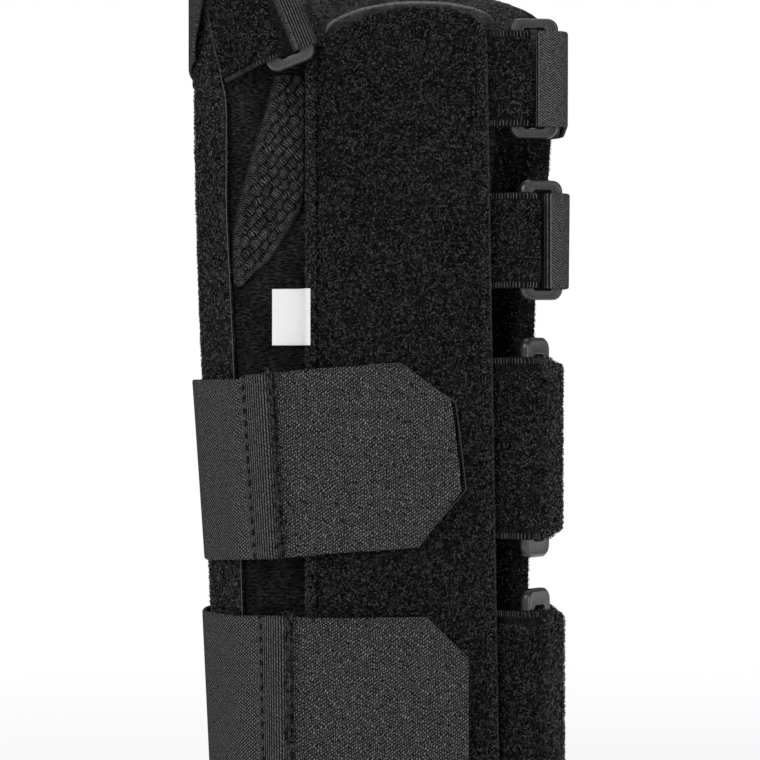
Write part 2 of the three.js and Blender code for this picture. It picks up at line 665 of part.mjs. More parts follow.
export default makeBrace();
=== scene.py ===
"""Wrist and thumb brace: cloth sleeve, pile panel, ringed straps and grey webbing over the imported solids."""

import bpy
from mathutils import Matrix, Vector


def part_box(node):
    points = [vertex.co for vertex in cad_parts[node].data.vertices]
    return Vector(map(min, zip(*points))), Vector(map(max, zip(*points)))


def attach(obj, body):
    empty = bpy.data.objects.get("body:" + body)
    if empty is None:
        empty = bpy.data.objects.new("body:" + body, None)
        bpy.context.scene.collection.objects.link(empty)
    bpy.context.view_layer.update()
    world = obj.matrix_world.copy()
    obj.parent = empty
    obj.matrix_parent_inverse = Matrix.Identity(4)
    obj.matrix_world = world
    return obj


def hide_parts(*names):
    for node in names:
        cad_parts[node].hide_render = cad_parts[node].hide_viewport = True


bl_info = {
    "name": "Wrist thumb brace",
    "version": (1, 0, 0),
    "blender": (4, 5, 0),
    "location": "View3D > Sidebar > Brace",
    "description": "Builds the cloth, webbing, rings and stitching of a wrist and thumb brace",
    "category": "Add Mesh",
}

from collections import namedtuple

import bpy
import numpy as np
from bpy.props import FloatProperty, FloatVectorProperty, PointerProperty
from mathutils import Vector

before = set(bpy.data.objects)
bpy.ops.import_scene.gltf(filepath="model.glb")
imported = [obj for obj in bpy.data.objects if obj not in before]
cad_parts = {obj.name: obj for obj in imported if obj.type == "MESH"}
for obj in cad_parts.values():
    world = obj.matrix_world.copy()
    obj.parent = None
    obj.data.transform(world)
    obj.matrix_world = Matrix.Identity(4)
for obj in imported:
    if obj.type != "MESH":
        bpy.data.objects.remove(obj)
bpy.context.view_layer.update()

# Drawing frame: millimetres, panel front at y = 0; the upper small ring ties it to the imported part
MM = 0.001
RING_SPOT = np.array((40.8, 9.6, 205.4))
RING_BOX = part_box("small_ring_1")
SHIFT = (np.array(RING_BOX[0]) + np.array(RING_BOX[1])) / 2 / MM - RING_SPOT

# Cloth layers, measured outward from the inside of the liner
GAP = 0.3
BAR_GAP = 0.5
LINER_OUT = 2.3
WRAP_IN = LINER_OUT + GAP
WRAP_OUT = 4.6
PANEL_OUT = 7.6
SECTION_POWER = 2.8

# Search on the skin: half a step for its direction, angles of its front half, and halvings of that range
SKIN_STEP, FRONT_ANGLES, HALVINGS = 0.3, (-80.0, 88.0), 26

# Inside section of the sleeve: height, left and right reach, half depth
SECTIONS = np.array((
    (0, -39.2, 35.8, 31.4), (73, -41.6, 36.2, 29.0), (127, -43.5, 37.8, 28.0), (147, -44.4, 38.5, 28.0),
    (175, -45.0, 41.9, 28.6), (207, -45.3, 43.6, 29.0), (250, -45.5, 44.0, 29.0),
))

# Rim height by angle: 0 front, 90 thumb side, 180 back, 255 free edge of the flap
SLEEVE_START = -51.7
SLEEVE_END = 255.0
RIM = np.array((
    (-52, 216), (-51.4, 219), (-50.4, 221.2), (-49, 222.4), (-45, 223.7), (-39, 224.6), (-32, 225.2),
    (-22, 225.4), (-10, 225.1), (-1, 224.5), (8, 223.5), (16, 222), (20, 220.9), (22.5, 219.7), (24, 216),
    (25.5, 212.2), (34, 210.2), (48, 211), (56, 213.5), (63, 219.5), (69, 228.5), (74, 238), (80, 244),
    (90, 246), (106, 246), (113, 243), (117, 236), (120, 222), (122.5, 206), (125.5, 198), (132, 197),
    (136, 204), (139, 219), (142, 229), (147, 234.5), (155, 236), (205, 236), (226, 233.8), (240, 230),
    (249, 226), (255, 220),
))

# Rolled edge that the liner shows above the panel: angles of its ends, sink under the rim, steps and radii
RIM_ROLL, RIM_ROLL_SINK, RIM_ROLL_STEPS = (-50.6, 23.6), 0.35, 140
RIM_ROLL_RADII, RIM_ROLL_FADE = (0.3, 0.65), (0, 24)

# Front edge of the outer wrap by height, the angle that its columns count from and the end of its pull
WRAP_START, WRAP_FADE = 69.0, 80.0
WRAP_EDGE = np.array((
    (0, -34.8), (70, -37.2), (131, -39.4), (149, -40.2), (173, -41.2), (197, -41.0), (206, -42.4),
    (214, -44.4), (220, -45.6), (226, -46.8), (246, -49.5),
))
WRAP_LUMP = 0.1

# Pile on the wrap: name, rows of the wrap's grid, tries, seed and size
WRAP_PILES = (
    ("edge", (0, 28), 20000, 10, 1.0),
    ("side", (27, 64), 17000, 37, 1.4),
    ("back", (63, None), 16000, 73, 1.4),
)

# Lowest pile above the floor, and on the panel; columns of the wrap's grid that carry it
PILE_LOW, PANEL_PILE_LOW = 1.6, 1.9
PILE_COLUMNS = slice(3, -4)

# Where the webbing hides the wrap, and the liner's window between the wrap and the panel
WEBBED_RIGHT, WINDOW_RIGHT, WINDOW_BACK = 5, -18, 20

# Where fuzz sets in inside the liner: x and y of the flap and its chance there, y and z of the back
LINED_FLAP, FLAP_CHANCE = ((16, 30), (8, 18)), 0.5
LINED_BACK = ((30, 44), (178, 212))

# Thumb sleeve: centre, radius, heights of the change-over and angles of its round and fades
THUMB_X, THUMB_Y, THUMB_RADIUS = -34.8, 20.0, 10.3
THUMB_LOW, THUMB_HIGH = 150.0, 214.0
THUMB_FRONT, THUMB_BACK = 50.0, 125.0
THUMB_FADES = (20.0, 148.0)

# Front panel across its width: x, under face, outer face, top edge
PANEL_LOW, PANEL_SPAN, PANEL_EDGE = 1.2, 218.0, 1.6
PANEL = np.array((
    (-19.5, 3.4, 5.6, 205.0), (-19.2, 3.4, 6.9, 207.5), (-18.4, 3.4, 7.6, 210.0), (-17.3, 3.4, 7.4, 211.8),
    (-16.6, 3.4, 6.9, 213.0), (-15.4, 2.6, 7.6, 214.6), (-11.8, 2.6, 7.6, 217.4), (-5.3, 2.6, 7.6, 220.5),
    (2.6, 2.6, 7.6, 222.9), (10.5, 2.6, 7.6, 223.7), (18.4, 2.6, 7.6, 223.2), (23.0, 4.4, 7.6, 222.3),
    (26.3, 4.4, 7.6, 220.9), (26.9, 4.4, 7.0, 220.4), (27.6, 4.4, 7.5, 219.8), (28.9, 4.4, 7.3, 217.4),
    (29.5, 4.4, 6.0, 213.0),
))

# Columns of the panel's grid, closer on its two ribs: start, end and count
PANEL_COLUMNS = ((-19.5, -15.2, 20), (-14.4, 25.6, 44), (26.0, 29.5, 18))

# Low step of the panel over a tab: height, and where it fades by z and x; height of the panel's swells
STEP_TALL, STEP_HEIGHTS, STEP_SPAN, SWELL = 0.3, (59.0, 60.4), (13, 19), 0.12

# Grooves beside the panel's ribs: x, depth and reach
GROOVES = ((-16.4, 0.8, 0.7), (26.6, 0.35, 0.45))

# Where the panel's pile ends on the right, where its ribs begin, and the turned edge's x, heights and sink
PILE_RIGHT, RIB_LEFT, RIB_RIGHT = 26.8, -17.1, 26.7
RIB_ROLL_X, RIB_ROLL_HEIGHTS, RIB_ROLL_SINK = 29.2, (2.4, 211.0), 0.45

# Lean of the panel's right side: height where it stands true, height for each millimetre, and span of x
LEAN_LEVEL, LEAN_DROP, LEAN_SPAN = 139.6, 58.0, (0, 26)

# Leaf-shaped gusset: height, left and right edge
GUSSET_THICK, GUSSET_RELIEF = 0.8, 0.45
GUSSET = np.array((
    (150.2, -38.4, -37.2), (154, -38.9, -33.4), (157, -39.0, -29.6), (162.5, -38.9, -26.0),
    (168, -38.3, -22.6), (173, -37.2, -20.3), (180, -35.2, -20.1), (186.4, -33.2, -20.1),
    (193, -31.2, -20.1), (200, -29.2, -20.1), (206, -27.6, -20.1),
))

# Strands across the gusset's edges: number on each, reach past the edge and in, lift, and where they end
BORDER_COUNT, BORDER_REACH, BORDER_LIFT, BORDER_RIGHT = 84, (-0.5, 2.6), 1.35, -20.6

# Plaits of the gusset's mesh: width, brick length and slant
BAND, BRICK, PLAIT_SLANT = 3.1, 4.4, 0.9

# Side label, and the flap's binding with the middle of the edge that it folds round
LABEL_X, LABEL_Z, LABEL_THICK = (-28.6, -18.3), (134.4, 149.4), 0.4
LABEL_CLIMB, LABEL_CORNER_LIFT, LABEL_END_LIFT = (-21.5, -18.9), 0.9, 0.25
BINDING_LEG, BINDING_FOLD, BINDING_THICK, BINDING_STEPS = 250.6, 256.6, 0.8, 26
BINDING_INSIDE, BINDING_OUTSIDE, BINDING_ROUND = -0.75, 5.5, 2.0
BINDING_LOW, BINDING_HIGH = 0.4, 220.4
FLAP_MIDDLE = 252.5
LEVEL = np.array((1, 1, 0))

# Overlock stitches on the binding: heights, step, slant, lift and places on its path; size of its bumps
OVERLOCK_HEIGHTS, OVERLOCK_STEP, OVERLOCK_SLANT, OVERLOCK_LIFT = (1.5, 219.0), 1.25, 0.35, 0.15
OVERLOCK_PLACES = (4, 22)
BUMP_STEP, BUMP_TALL = 1.5, 0.3

# Seam where the binding's front leg ends: heights, points and shift off the cloth
SEAM_HEIGHTS, SEAM_POINTS, SEAM_SHIFT = (1, 219), 180, np.array((0, -0.55, 0))

# Rings: outside width and height, slot height; bar width and thickness are shared
Ring = namedtuple("Ring", "width height slot")
SMALL_RING = Ring(13.2, 31.9, 26.3)
BIG_RING = Ring(13.0, 58.6, 48.6)
BAR = 4.0
BAR_THICK = 2.8
RING_CORNER, SLOT_CORNER = 3.0, 0.8

# Quarter of a ring's section, as shares of half the bar's width and thickness
RING_SECTION = np.array(((1, 0), (1, 0.4), (0.98, 0.5), (0.77, 0.95), (0.69, 1), (0.6, 0.99), (0, 0.93)))

# Closures on the free side: ring centre and turn, heights, strap width and where the strap runs
Closure = namedtuple(
    "Closure", "kind number ring x y turn ring_z strap_z width thick bend inner anchor end lap tip")
CLOSURES = (
    Closure("small", 1, SMALL_RING, 40.8, 9.6, 6, 205.4, 205.2, 25.5, 1.2, 49.4, 47.7, 226, 154, 1.0, True),
    Closure("small", 2, SMALL_RING, 42.7, 11.2, 30, 162.5, 162.3, 25.5, 1.2, 50.3, 47.9, 226, 152, 0.0, True),
    Closure("big", 1, BIG_RING, 41.2, 13.0, 60, 107.3, 107.1, 48.4, 1.6, 48.4, 44.4, 226, 186, 1.3, False),
    Closure("big", 2, BIG_RING, 41.4, 13.0, 60, 40.4, 39.9, 48.4, 1.6, 48.9, 44.6, 226, 186, 1.3, False),
)

# Tabs: thickness, x of their start and where they leave the sleeve, and the turn from which they ease in
TAB_THICK, TAB_START, TAB_LEAVE, STEEP_TURN = 1.3, 23.6, 29.6, 45

# Free-side straps: lift under the sewn run and under the free end, angle of the flap's edge, and steps
UNDER_STRAP, OVER_STRAP, FLAP_EDGE, SIDE_STEPS = 6.5, 5.2, 256.5, 260

# Their last stretch: share of it where it leaves the sewn end, and its points
SETTLE_START, SETTLE_POINTS = 0.08, 24

# Share of the way round a bar that is an arc, snug and slack
SNUG, SLACK = 0.98, 0.5

# A narrow strap's tip: share of its length where it is clipped, and the clip; a wide one's draw at its bend
CLIP_START, CLIP = 0.955, 0.6
DRAWN, DRAWN_REACH = 0.08, 2.4

# Fibres in a square millimetre of a tab; its edge strands' start and reach, end, slant, pitch and height
TAB_FIBRES = 5.0
TAB_STRANDS, THUMB_STRANDS = (5.6, 1.8), (1.0, 1.2)
STRAND_END, STRAND_SLANT, STRAND_PITCH, STRAND_TALL = 0.72, 0.15, 0.84, 0.2

# Each step of a strand: share of the way from the back to the face, and of its height; range of tones
STRAND_FACE = np.array((0.3, 1, 1, 1, 1))
STRAND_RISE = np.array((0, 1, 1, 1, 0.2))
STRAND_TONES = (0.2, 0.8)

# Grey webbing: thickness, angles of its back and front end, x where its tip begins, and steps
WEB_THICK, WEB_BACK, WEB_FRONT, WEB_TURN, WEB_STEPS = 1.2, 206.0, 71.0, -37.9, 330

# Its lift over the straps behind it and the angles where it climbs; its tip's thickness and lift over it
WEB_OVERLAP, WEB_CLIMB = 3.0, (168, 186)
TIP_THICK = 1.2
OVER_TIP = TIP_THICK + GAP + 0.1

# Each webbing: edge heights, lift off the liner, pad's reach, seam rows, tip outline (x, low, high, lift)
Web = namedtuple("Web", "number low high lift_low lift_high pad rows outline")
WEBS = (
    Web(1, 76.6, 125.4, 5.0, 6.6, 1.3, ((-33.3, -37.0), (-26.3, -29.0)), np.array((
        (-37.2, 77.6, 125.5, 5.3), (-36.2, 77.6, 126.6, 5.5), (-31.5, 77.9, 126.9, 6.4),
        (-26.0, 78.2, 127.4, 7.5), (-20.6, 78.8, 128.0, 8.8), (-15.0, 79.4, 128.4, 9.3),
        (-8.0, 80.0, 128.9, 9.3), (0.0, 80.7, 129.4, 9.3), (5.3, 81.1, 129.7, 9.3),
        (10.2, 81.5, 126.2, 9.3), (15.0, 87.8, 122.7, 9.3), (18.7, 92.6, 120.0, 9.3),
        (21.3, 96.0, 97.0, 9.3),
    ))),
    Web(2, 14.2, 62.8, 5.5, 6.1, -0.4, ((-31.0, -32.0), (-23.8, -24.2)), np.array((
        (-37.2, 14.4, 62.6, 5.3), (-31.5, 14.4, 63.0, 6.4), (-26.0, 14.5, 63.2, 7.5),
        (-20.6, 14.5, 62.9, 8.8), (-15.0, 14.6, 62.8, 9.3), (-8.0, 14.6, 62.8, 9.3),
        (0.0, 14.7, 62.8, 9.3), (6.0, 14.7, 62.8, 9.3), (12.2, 14.8, 62.9, 9.3),
        (17.8, 20.2, 57.4, 9.3), (23.3, 25.6, 52.0, 9.3),
    ))),
)

# Hook pads: thickness, lift, start, inset from the tip's edges, and x between which their reach sets in
PAD_THICK, PAD_LIFT, PAD_START, PAD_INSET, PAD_SPREAD = 1.0, PANEL_OUT + GAP, -8.0, 0.5, (12, 21)

# Quilting of the webbing: swell between its seam rows; sink of each row, depth and reach of its holes
QUILT_SWELL, QUILT_ROWS = 0.6, ((0.15, 0.45, 0.7), (0.4, 0.3, 1.0))

# Lock stitches of the webbing: pitch and length of a stitch, and the height of each of its points
STITCH_PITCH, STITCH_LONG = 3.1, 2.1
STITCH_SINK = np.array((-0.8, -0.1, -0.1, -0.8))

# Frayed yarn ends: number along the seam and in the tuft, the tuft's middle and spread along the seam,
# ranges of length, lift and tone, and middle and spread across the seam
FRAY_COUNT, TUFT_COUNT, TUFT_PLACE = 190, 26, (1.0, 0.012)
FRAY_RUN, FRAY_LIFT, FRAY_TONES, FRAY_PLACE = (0.7, 1.9), (-0.5, 0.35), (0.02, 0.5), (0.3, 0.8)

# Lint: range of length, and lift off the panel
LINT_RUN, LINT_LIFT = (0.6, 1.8), 0.45

# Shifts off the cloth of the threads along the wrap's front edge, round a tip or pad, and more for a pad
WRAP_THREAD_SHIFT, EDGE_SHIFT, PAD_EDGE_SHIFT = np.array(((0.05, -0.35, 0), (0, -0.2, 0), (0.1, -0.3, 0)))

# Rows of their grids where the threads round a tip and a pad begin, and a wide strap's pile
TIP_EDGE_ROW, PAD_EDGE_ROW, STRAP_PILE_ROW = 60, 20, 60

# First seeds of the tabs' pile, the thumb tab's, the wide straps' pile, the fray and its tones
TAB_SEED, THUMB_SEED, STRAP_SEED, FRAY_SEED, FRAY_TONE_SEED = 40, 48, 60, 70, 80

# Thumb closure: ring centre and tilt, strap width and thickness, and the free corners of its path
THUMB_RING = np.array((-28.4, -2.1, 222.6))
THUMB_TILT = np.radians(22)
TILT_SINE, TILT_COSINE = np.sin(THUMB_TILT), np.cos(THUMB_TILT)
THUMB_WIDTH, THUMB_THICK = 25.4, 1.1
THUMB_BEND, THUMB_INNER = 7.5, 5.4
THUMB_BACK_IN, THUMB_BACK_OUT = 39.9, 41.5
THUMB_ANCHOR, THUMB_LEAVE, THUMB_END, THUMB_RISE = 103.0, 121.0, 69.5, 9.0
THUMB_STEPS = 340
THUMB_UNDER = WRAP_OUT + 1.1 + THUMB_THICK / 2
THUMB_OVER = THUMB_UNDER + THUMB_THICK + GAP
THUMB_FLANK = WRAP_OUT + 0.7 + THUMB_THICK / 2
THUMB_TIP_LIFT, THUMB_TIP_FADE, THUMB_CLIP, THUMB_CLIP_POINTS = 0.9, 84, 0.55, 6

# Camera: distance from the panel's front, eye height and lens, which give 200 mm across the frame
CAMERA_AWAY, CAMERA_HEIGHT, CAMERA_LENS = 900.0, 125.26, 162.0

# Studio light: strength of the surround, and each lamp's place, target, size and power in metres and watts
SURROUND = 0.22
LAMPS = (
    ("key", (-0.75, -1.25, 1.0), (0, 0, 0.12), 0.9, 13.0),
    ("fill", (1.0, -1.2, 0.5), (0, 0, 0.12), 0.9, 6.0),
    ("top", (0.1, 0.25, 1.4), (0, 0, 0), 1.2, 7.0),
)

# Floor in metres: radii of its rings, sides, drop under the brace, and how far out it fades into plain white;
# how much it glows near the brace, and the share of its white in its darker clouds
FLOOR_RINGS, FLOOR_SIDES, FLOOR_DROP = np.array((0.001, 0.4, 1.2, 3.0, 6.0)), 64, 0.0002
FLOOR_FADE = (0.1, 0.6)
FLOOR_GLOW, FLOOR_DIM = 0.8, 0.985

# Fixed colours, dark and light: knit gaps, rolled edge, mesh, hook tape and lint
KNIT_GAP = (0.002, 0.002, 0.0021)
ROLL_TONES = ((0.05, 0.05, 0.051), (0.2, 0.2, 0.204))
MESH_TONES = ((0.0015, 0.0015, 0.0016), (0.17, 0.17, 0.174))
HOOK_TONES = ((0.0015, 0.0015, 0.0015), (0.03, 0.03, 0.03))
LINT_TONES = ((0.1, 0.1, 0.1), (0.3, 0.3, 0.3))

# Heights between which the liner turns paler: painted light, as light reaches the cloth near the high rim
RIM_PAINTED_LIGHT = (207.0, 234.0)
# How much lighter the thumb ring's plastic is: a painted highlight for the light that its tilted bar catches
THUMB_RING_PAINTED_LIGHT = 3.0

# Weave of the grey webbing: width and height of a dash, and the step of its needle holes
DASH_WIDE, DASH_TALL = 0.58, 0.88
HOLE_STEP = 3.2

# Pile fibre: faces by point, points, most in a piece, ranges of length and height, sideways bend,
# power of its tone, and its root's depth and its end's height as shares of its height
FIBRE_FACES = np.array(((0, 1, 2), (0, 2, 3), (0, 3, 1), (4, 2, 1), (4, 3, 2), (4, 1, 3)))
FIBRE_POINTS = 5
MOST_FIBRES = 33000
FIBRE_RUN, FIBRE_TALL, FIBRE_BEND, FIBRE_TONE = (0.55, 1.45), (0.4, 1.4), 0.4, 2.2
FIBRE_ROOT, FIBRE_END = 0.4, 0.25

# Threads: a direction that none of them runs along, and the share of the radius at their ends
THREAD_SIDE = np.array((0.31, -0.87, 0.38))
THREAD_TAPER = 0.55

# Shader values of dull cloth and of moulded plastic
MATT = {"Specular IOR Level": 0.0}
GLOSS = {"Specular IOR Level": 0.75}

Cloth = namedtuple("Cloth", "outer inner uv")


def colour(name, text, value):
    """Colour property with its name, description and default."""
    return FloatVectorProperty(
        name=name, description=text, size=3, subtype="COLOR", default=value, min=0, max=1)


def length(name, text, value):
    """Length property in metres with its name, description and default."""
    return FloatProperty(name=name, description=text, default=value, min=0.00001, max=0.02, unit="LENGTH")


class BraceSettings(bpy.types.PropertyGroup):
    """Sizes and colours of the brace"""

    pile_length: length("Pile length", "Length of one pile fibre", 0.00125)
    pile_height: length("Pile height", "Height of the pile above its cloth", 0.00035)
    pile_width: length("Pile width", "Width of one pile fibre", 0.00022)
    thread_radius: length("Thread radius", "Radius of the edge and seam threads", 0.00012)
    weave_depth: length("Weave depth", "Depth of the webbing's weave", 0.00022)
    cloth_black: colour("Cloth black", "Ground of the pile and fleece", (0.0026, 0.0026, 0.0027))
    pile_grey: colour("Pile grey", "Lightest pile fibres", (0.12, 0.12, 0.122))
    strap_grey: colour("Strap grey", "Lightest pile fibres of the wide straps", (0.19, 0.19, 0.193))
    fleece_grey: colour("Fleece grey", "Lightest fibres of the wrap", (0.18, 0.18, 0.183))
    # Painted light: lighter than the fleece to make up for the shade deep inside the flap
    lining_painted_light_grey: colour("Lining grey", "Lightest fibres inside the flap", (0.27, 0.27, 0.274))
    liner_black: colour("Liner black", "Lightest felt of the liner", (0.05, 0.05, 0.051))
    web_dark: colour("Webbing dark", "Gaps in the grey webbing", (0.003, 0.003, 0.0031))
    web_grey: colour("Webbing grey", "Raised yarn of the grey webbing", (0.25, 0.25, 0.255))
    ring_grey: colour("Ring grey", "Plastic of the rings", (0.0165, 0.0168, 0.0173))
    thread_grey: colour("Thread grey", "Light edge threads", (0.16, 0.16, 0.163))
    label_white: colour("Label white", "Side label", (0.92, 0.92, 0.92))
    floor_white: colour("Floor white", "Studio floor", (0.95, 0.95, 0.95))


# Curves and places

def ramp(value, low, high):
    """Smooth step from 0 at low to 1 at high."""
    t = np.clip((value - low) / (high - low), 0, 1)
    return t * t * (3 - 2 * t)


def mix(a, b, t):
    """Straight mix of two values."""
    return a + (b - a) * t


def unit(vectors):
    """Vectors divided by their own lengths."""
    return vectors / np.maximum(np.linalg.norm(vectors, axis=-1, keepdims=True), 1e-9)


def curve(table, column, at):
    """Cubic pieces through a table's rows; flat at peaks, so that it never swings past its rows."""
    key, value = table[:, 0], table[:, column]
    step = np.diff(value) / np.diff(key)
    before, after = step[:-1], step[1:]
    both = np.maximum(before * after, 0)
    inner = 2 * both / np.where(both > 0, before + after, 1)
    slope = np.concatenate((step[:1], inner, step[-1:]))
    at = np.clip(at, key[0], key[-1])
    k = np.clip(np.searchsorted(key, at) - 1, 0, len(key) - 2)
    span = key[k + 1] - key[k]
    s = (at - key[k]) / span
    rise, follow = slope[k] * span, slope[k + 1] * span
    a, b = value[k], value[k + 1]
    return a + s * (rise + s * (3 * (b - a) - 2 * rise - follow + s * (2 * (a - b) + rise + follow)))


def inside(angle, z):
    """Inside of the liner: a rounded oval, drawn into a circle round the thumb."""
    left, right, half = (curve(SECTIONS, column, z) for column in (1, 2, 3))
    turn = np.radians(angle)
    sine, cosine = np.sin(turn), np.cos(turn)
    total = np.abs(cosine / half) ** SECTION_POWER + np.abs(sine / (right - left) * 2) ** SECTION_POWER
    reach = total ** (-1 / SECTION_POWER)
    x = (left + right) / 2 - reach * sine
    y = PANEL_OUT + half - reach * cosine
    round_it = ramp(angle, THUMB_FADES[0], THUMB_FRONT) * (1 - ramp(angle, THUMB_BACK, THUMB_FADES[1]))
    share = round_it * ramp(z, THUMB_LOW, THUMB_HIGH)
    thumb = np.radians((angle - THUMB_FRONT) / (THUMB_BACK - THUMB_FRONT) * 180)
    x = mix(x, THUMB_X - THUMB_RADIUS * np.sin(thumb), share)
    y = mix(y, THUMB_Y - THUMB_RADIUS * np.cos(thumb), share)
    return x, y


def skin(angle, z, lift):
    """Points at a distance outward from the inside of the liner, level with it."""
    angle, z, lift = np.broadcast_arrays(*(np.asarray(v, float) for v in (angle, z, lift)))
    x, y = inside(angle, z)
    x0, y0 = inside(angle - SKIN_STEP, z)
    x1, y1 = inside(angle + SKIN_STEP, z)
    reach = np.hypot(x1 - x0, y1 - y0)
    return np.stack((x - lift * (y1 - y0) / reach, y + lift * (x1 - x0) / reach, z), -1)


def angle_at(x, z, lift):
    """Angle at which the front half of the skin reaches x, found by halving a range."""
    x, z, lift = np.broadcast_arrays(*(np.asarray(v, float) for v in (x, z, lift)))
    low, high = (np.full(x.shape, end) for end in FRONT_ANGLES)
    for _ in range(HALVINGS):
        middle = (low + high) / 2
        right = skin(middle, z, lift)[..., 0] > x
        low, high = np.where(right, middle, low), np.where(right, high, middle)
    return (low + high) / 2


def front(x, z, lift):
    """Points of the skin's front half at given x and height."""
    return skin(angle_at(x, z, lift), z, lift)


def lean(x, z):
    """Sideways lean of the panel's right side."""
    return (LEAN_LEVEL - z) / LEAN_DROP * ramp(x, *LEAN_SPAN)


def rounded(corners, steps=8):
    """Paths through corners, each a point per row and a radius; an arc touches both sides of it."""
    spots = [np.atleast_2d(spot) for spot, _ in corners]
    runs = []
    for k, (_, radius) in enumerate(corners):
        spot = spots[k]
        if not radius:
            runs.append(spot[:, None])
            continue
        back, on = unit(spots[k - 1] - spot), unit(spots[k + 1] - spot)
        half = np.arccos(np.clip((back * on).sum(-1), -1, 1))[:, None] / 2
        centre = spot + unit(back + on) * radius / np.sin(half)
        cut = radius / np.tan(half)
        begin, end = (spot + way * cut - centre for way in (back, on))
        start = np.arctan2(begin[:, 1], begin[:, 0])
        sweep = np.arctan2(end[:, 1], end[:, 0]) - start
        sweep = np.arctan2(np.sin(sweep), np.cos(sweep))
        turn = start[:, None] + sweep[:, None] * np.linspace(0, 1, steps)
        runs.append(centre[:, None] + radius * np.stack((np.cos(turn), np.sin(turn)), -1))
    return np.concatenate(runs, 1)


def resample(paths, count, passes):
    """Paths at the same even steps of their mean length, so that folds stay in line, then smoothed."""
    run = run_length(paths.mean(0))
    at = np.interp(np.linspace(0, run[-1], count), run, np.arange(len(run)))
    low = np.minimum(np.floor(at).astype(int), len(run) - 2)
    points = mix(paths[:, low], paths[:, low + 1], (at - low)[None, :, None])
    for _ in range(passes):
        points[:, 1:-1] = (points[:, :-2] + 2 * points[:, 1:-1] + points[:, 2:]) / 4
    return points


def spaced(span, count, edge):
    """Shares from 0 to 1 along a span in millimetres, crowded into a quarter round at both ends."""
    near = edge * (1 - np.cos(np.radians((0, 30, 60, 90)))) / span
    return np.concatenate((near[:-1], np.linspace(near[-1], 1 - near[-1], count), 1 - near[-2::-1]))


def edge_round(shares, span, edge):
    """Quarter round of thickness within edge millimetres of both ends of a span."""
    away = np.minimum(shares, 1 - shares) * span / edge
    return np.sqrt(np.clip(1 - (1 - np.minimum(away, 1)) ** 2, 0, 1))


def run_length(points):
    """Distance run along the first axis of a grid, from its first row of points."""
    steps = np.linalg.norm(np.diff(points, axis=0), axis=-1)
    return np.concatenate((np.zeros((1,) + steps.shape[1:]), np.cumsum(steps, 0)))


def thicken(middle, thick, along, across, uv, facing=1):
    """Cloth round a middle grid: half the thickness to each side of it, rounded off at its border."""
    normal = facing * unit(np.cross(np.gradient(middle, axis=0), np.gradient(middle, axis=1)))
    span = run_length(middle[:, middle.shape[1] // 2])[-1]
    width = run_length(middle[middle.shape[0] // 2])[-1]
    edge = thick / 2
    soft = edge_round(along, span, edge)[:, None] * edge_round(across, width, edge)
    reach = normal * (edge * soft)[..., None]
    return Cloth(middle + reach, middle - reach, uv)


def middle_of(cloth):
    """Grid half way between a cloth's two faces."""
    return (cloth.outer + cloth.inner) / 2


def flat_map(x, z):
    """UV grid from two coordinates in millimetres."""
    return np.stack(np.broadcast_arrays(x, z), -1)


def spot_on(grid, u, v):
    """Points of a grid between its rows and columns, by straight mixing; u and v count rows and columns."""
    i = np.clip(np.floor(u).astype(int), 0, grid.shape[0] - 2)
    j = np.clip(np.floor(v).astype(int), 0, grid.shape[1] - 2)
    a, b = (u - i)[..., None], (v - j)[..., None]
    low = mix(grid[i, j], grid[i + 1, j], a)
    return mix(low, mix(grid[i, j + 1], grid[i + 1, j + 1], a), b)


# Meshes

def outward(points, faces):
    """Faces turned so that the volume that they close is positive."""
    a, b, c = points[faces[:, 0]], points[faces[:, 1]], points[faces[:, 2]]
    volume = np.einsum("ij,ij->", a, np.cross(b, c))
    if faces.shape[1] == 4:
        volume += np.einsum("ij,ij->", a, np.cross(c, points[faces[:, 3]]))
    return faces[:, ::-1] if volume < 0 else faces


def make_piece(name, points, faces, material, replaces=(), uv=None, tone=None):
    """One object from drawing points and faces, with its UV in millimetres or its tone."""
    faces = np.ascontiguousarray(outward(points, faces), np.int32)
    mesh = bpy.data.meshes.new(name)
    mesh.vertices.add(len(points))
    mesh.vertices.foreach_set("co", ((points + SHIFT) * MM).astype(np.float32).ravel())
    mesh.loops.add(faces.size)
    mesh.loops.foreach_set("vertex_index", faces.ravel())
    mesh.polygons.add(len(faces))
    mesh.polygons.foreach_set("loop_start", np.arange(0, faces.size, faces.shape[1], dtype=np.int32))
    if uv is not None:
        layer = mesh.uv_layers.new(name="cloth")
        layer.data.foreach_set("uv", uv[faces.ravel()].astype(np.float32).ravel())
    if tone is not None:
        mesh.attributes.new("tone", "FLOAT", "POINT").data.foreach_set("value", tone.astype(np.float32))
    mesh.update(calc_edges=True)
    mesh.validate()
    mesh.polygons.foreach_set("use_smooth", np.ones(len(mesh.polygons), bool))
    mesh.materials.append(material)
    piece = bpy.data.objects.new(name, mesh)
    bpy.context.scene.collection.objects.link(piece)
    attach(piece, "root")
    if replaces:
        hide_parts(*replaces)
    return piece


def cells(index):
    """Four-cornered faces of a grid of point numbers."""
    return np.stack((index[:-1, :-1], index[1:, :-1], index[1:, 1:], index[:-1, 1:]), -1).reshape(-1, 4)


def cloth_piece(name, cloth, material):
    """Closed cloth: an outer and an inner grid that share their border points."""
    outer, inner, uv = cloth
    rows, columns = outer.shape[:2]
    core = np.zeros((rows, columns), bool)
    core[1:-1, 1:-1] = True
    top = np.where(core[..., None], outer, middle_of(cloth))
    index = np.arange(rows * columns).reshape(rows, columns)
    back = index.copy()
    back[core] = rows * columns + np.arange(core.sum())
    points = np.concatenate((top.reshape(-1, 3), inner[core]))
    faces = np.concatenate((cells(index), cells(back)[:, ::-1]))
    flat = np.concatenate((uv.reshape(-1, 2), uv[core]))
    return make_piece(name, points, faces, material, (name,), uv=flat)


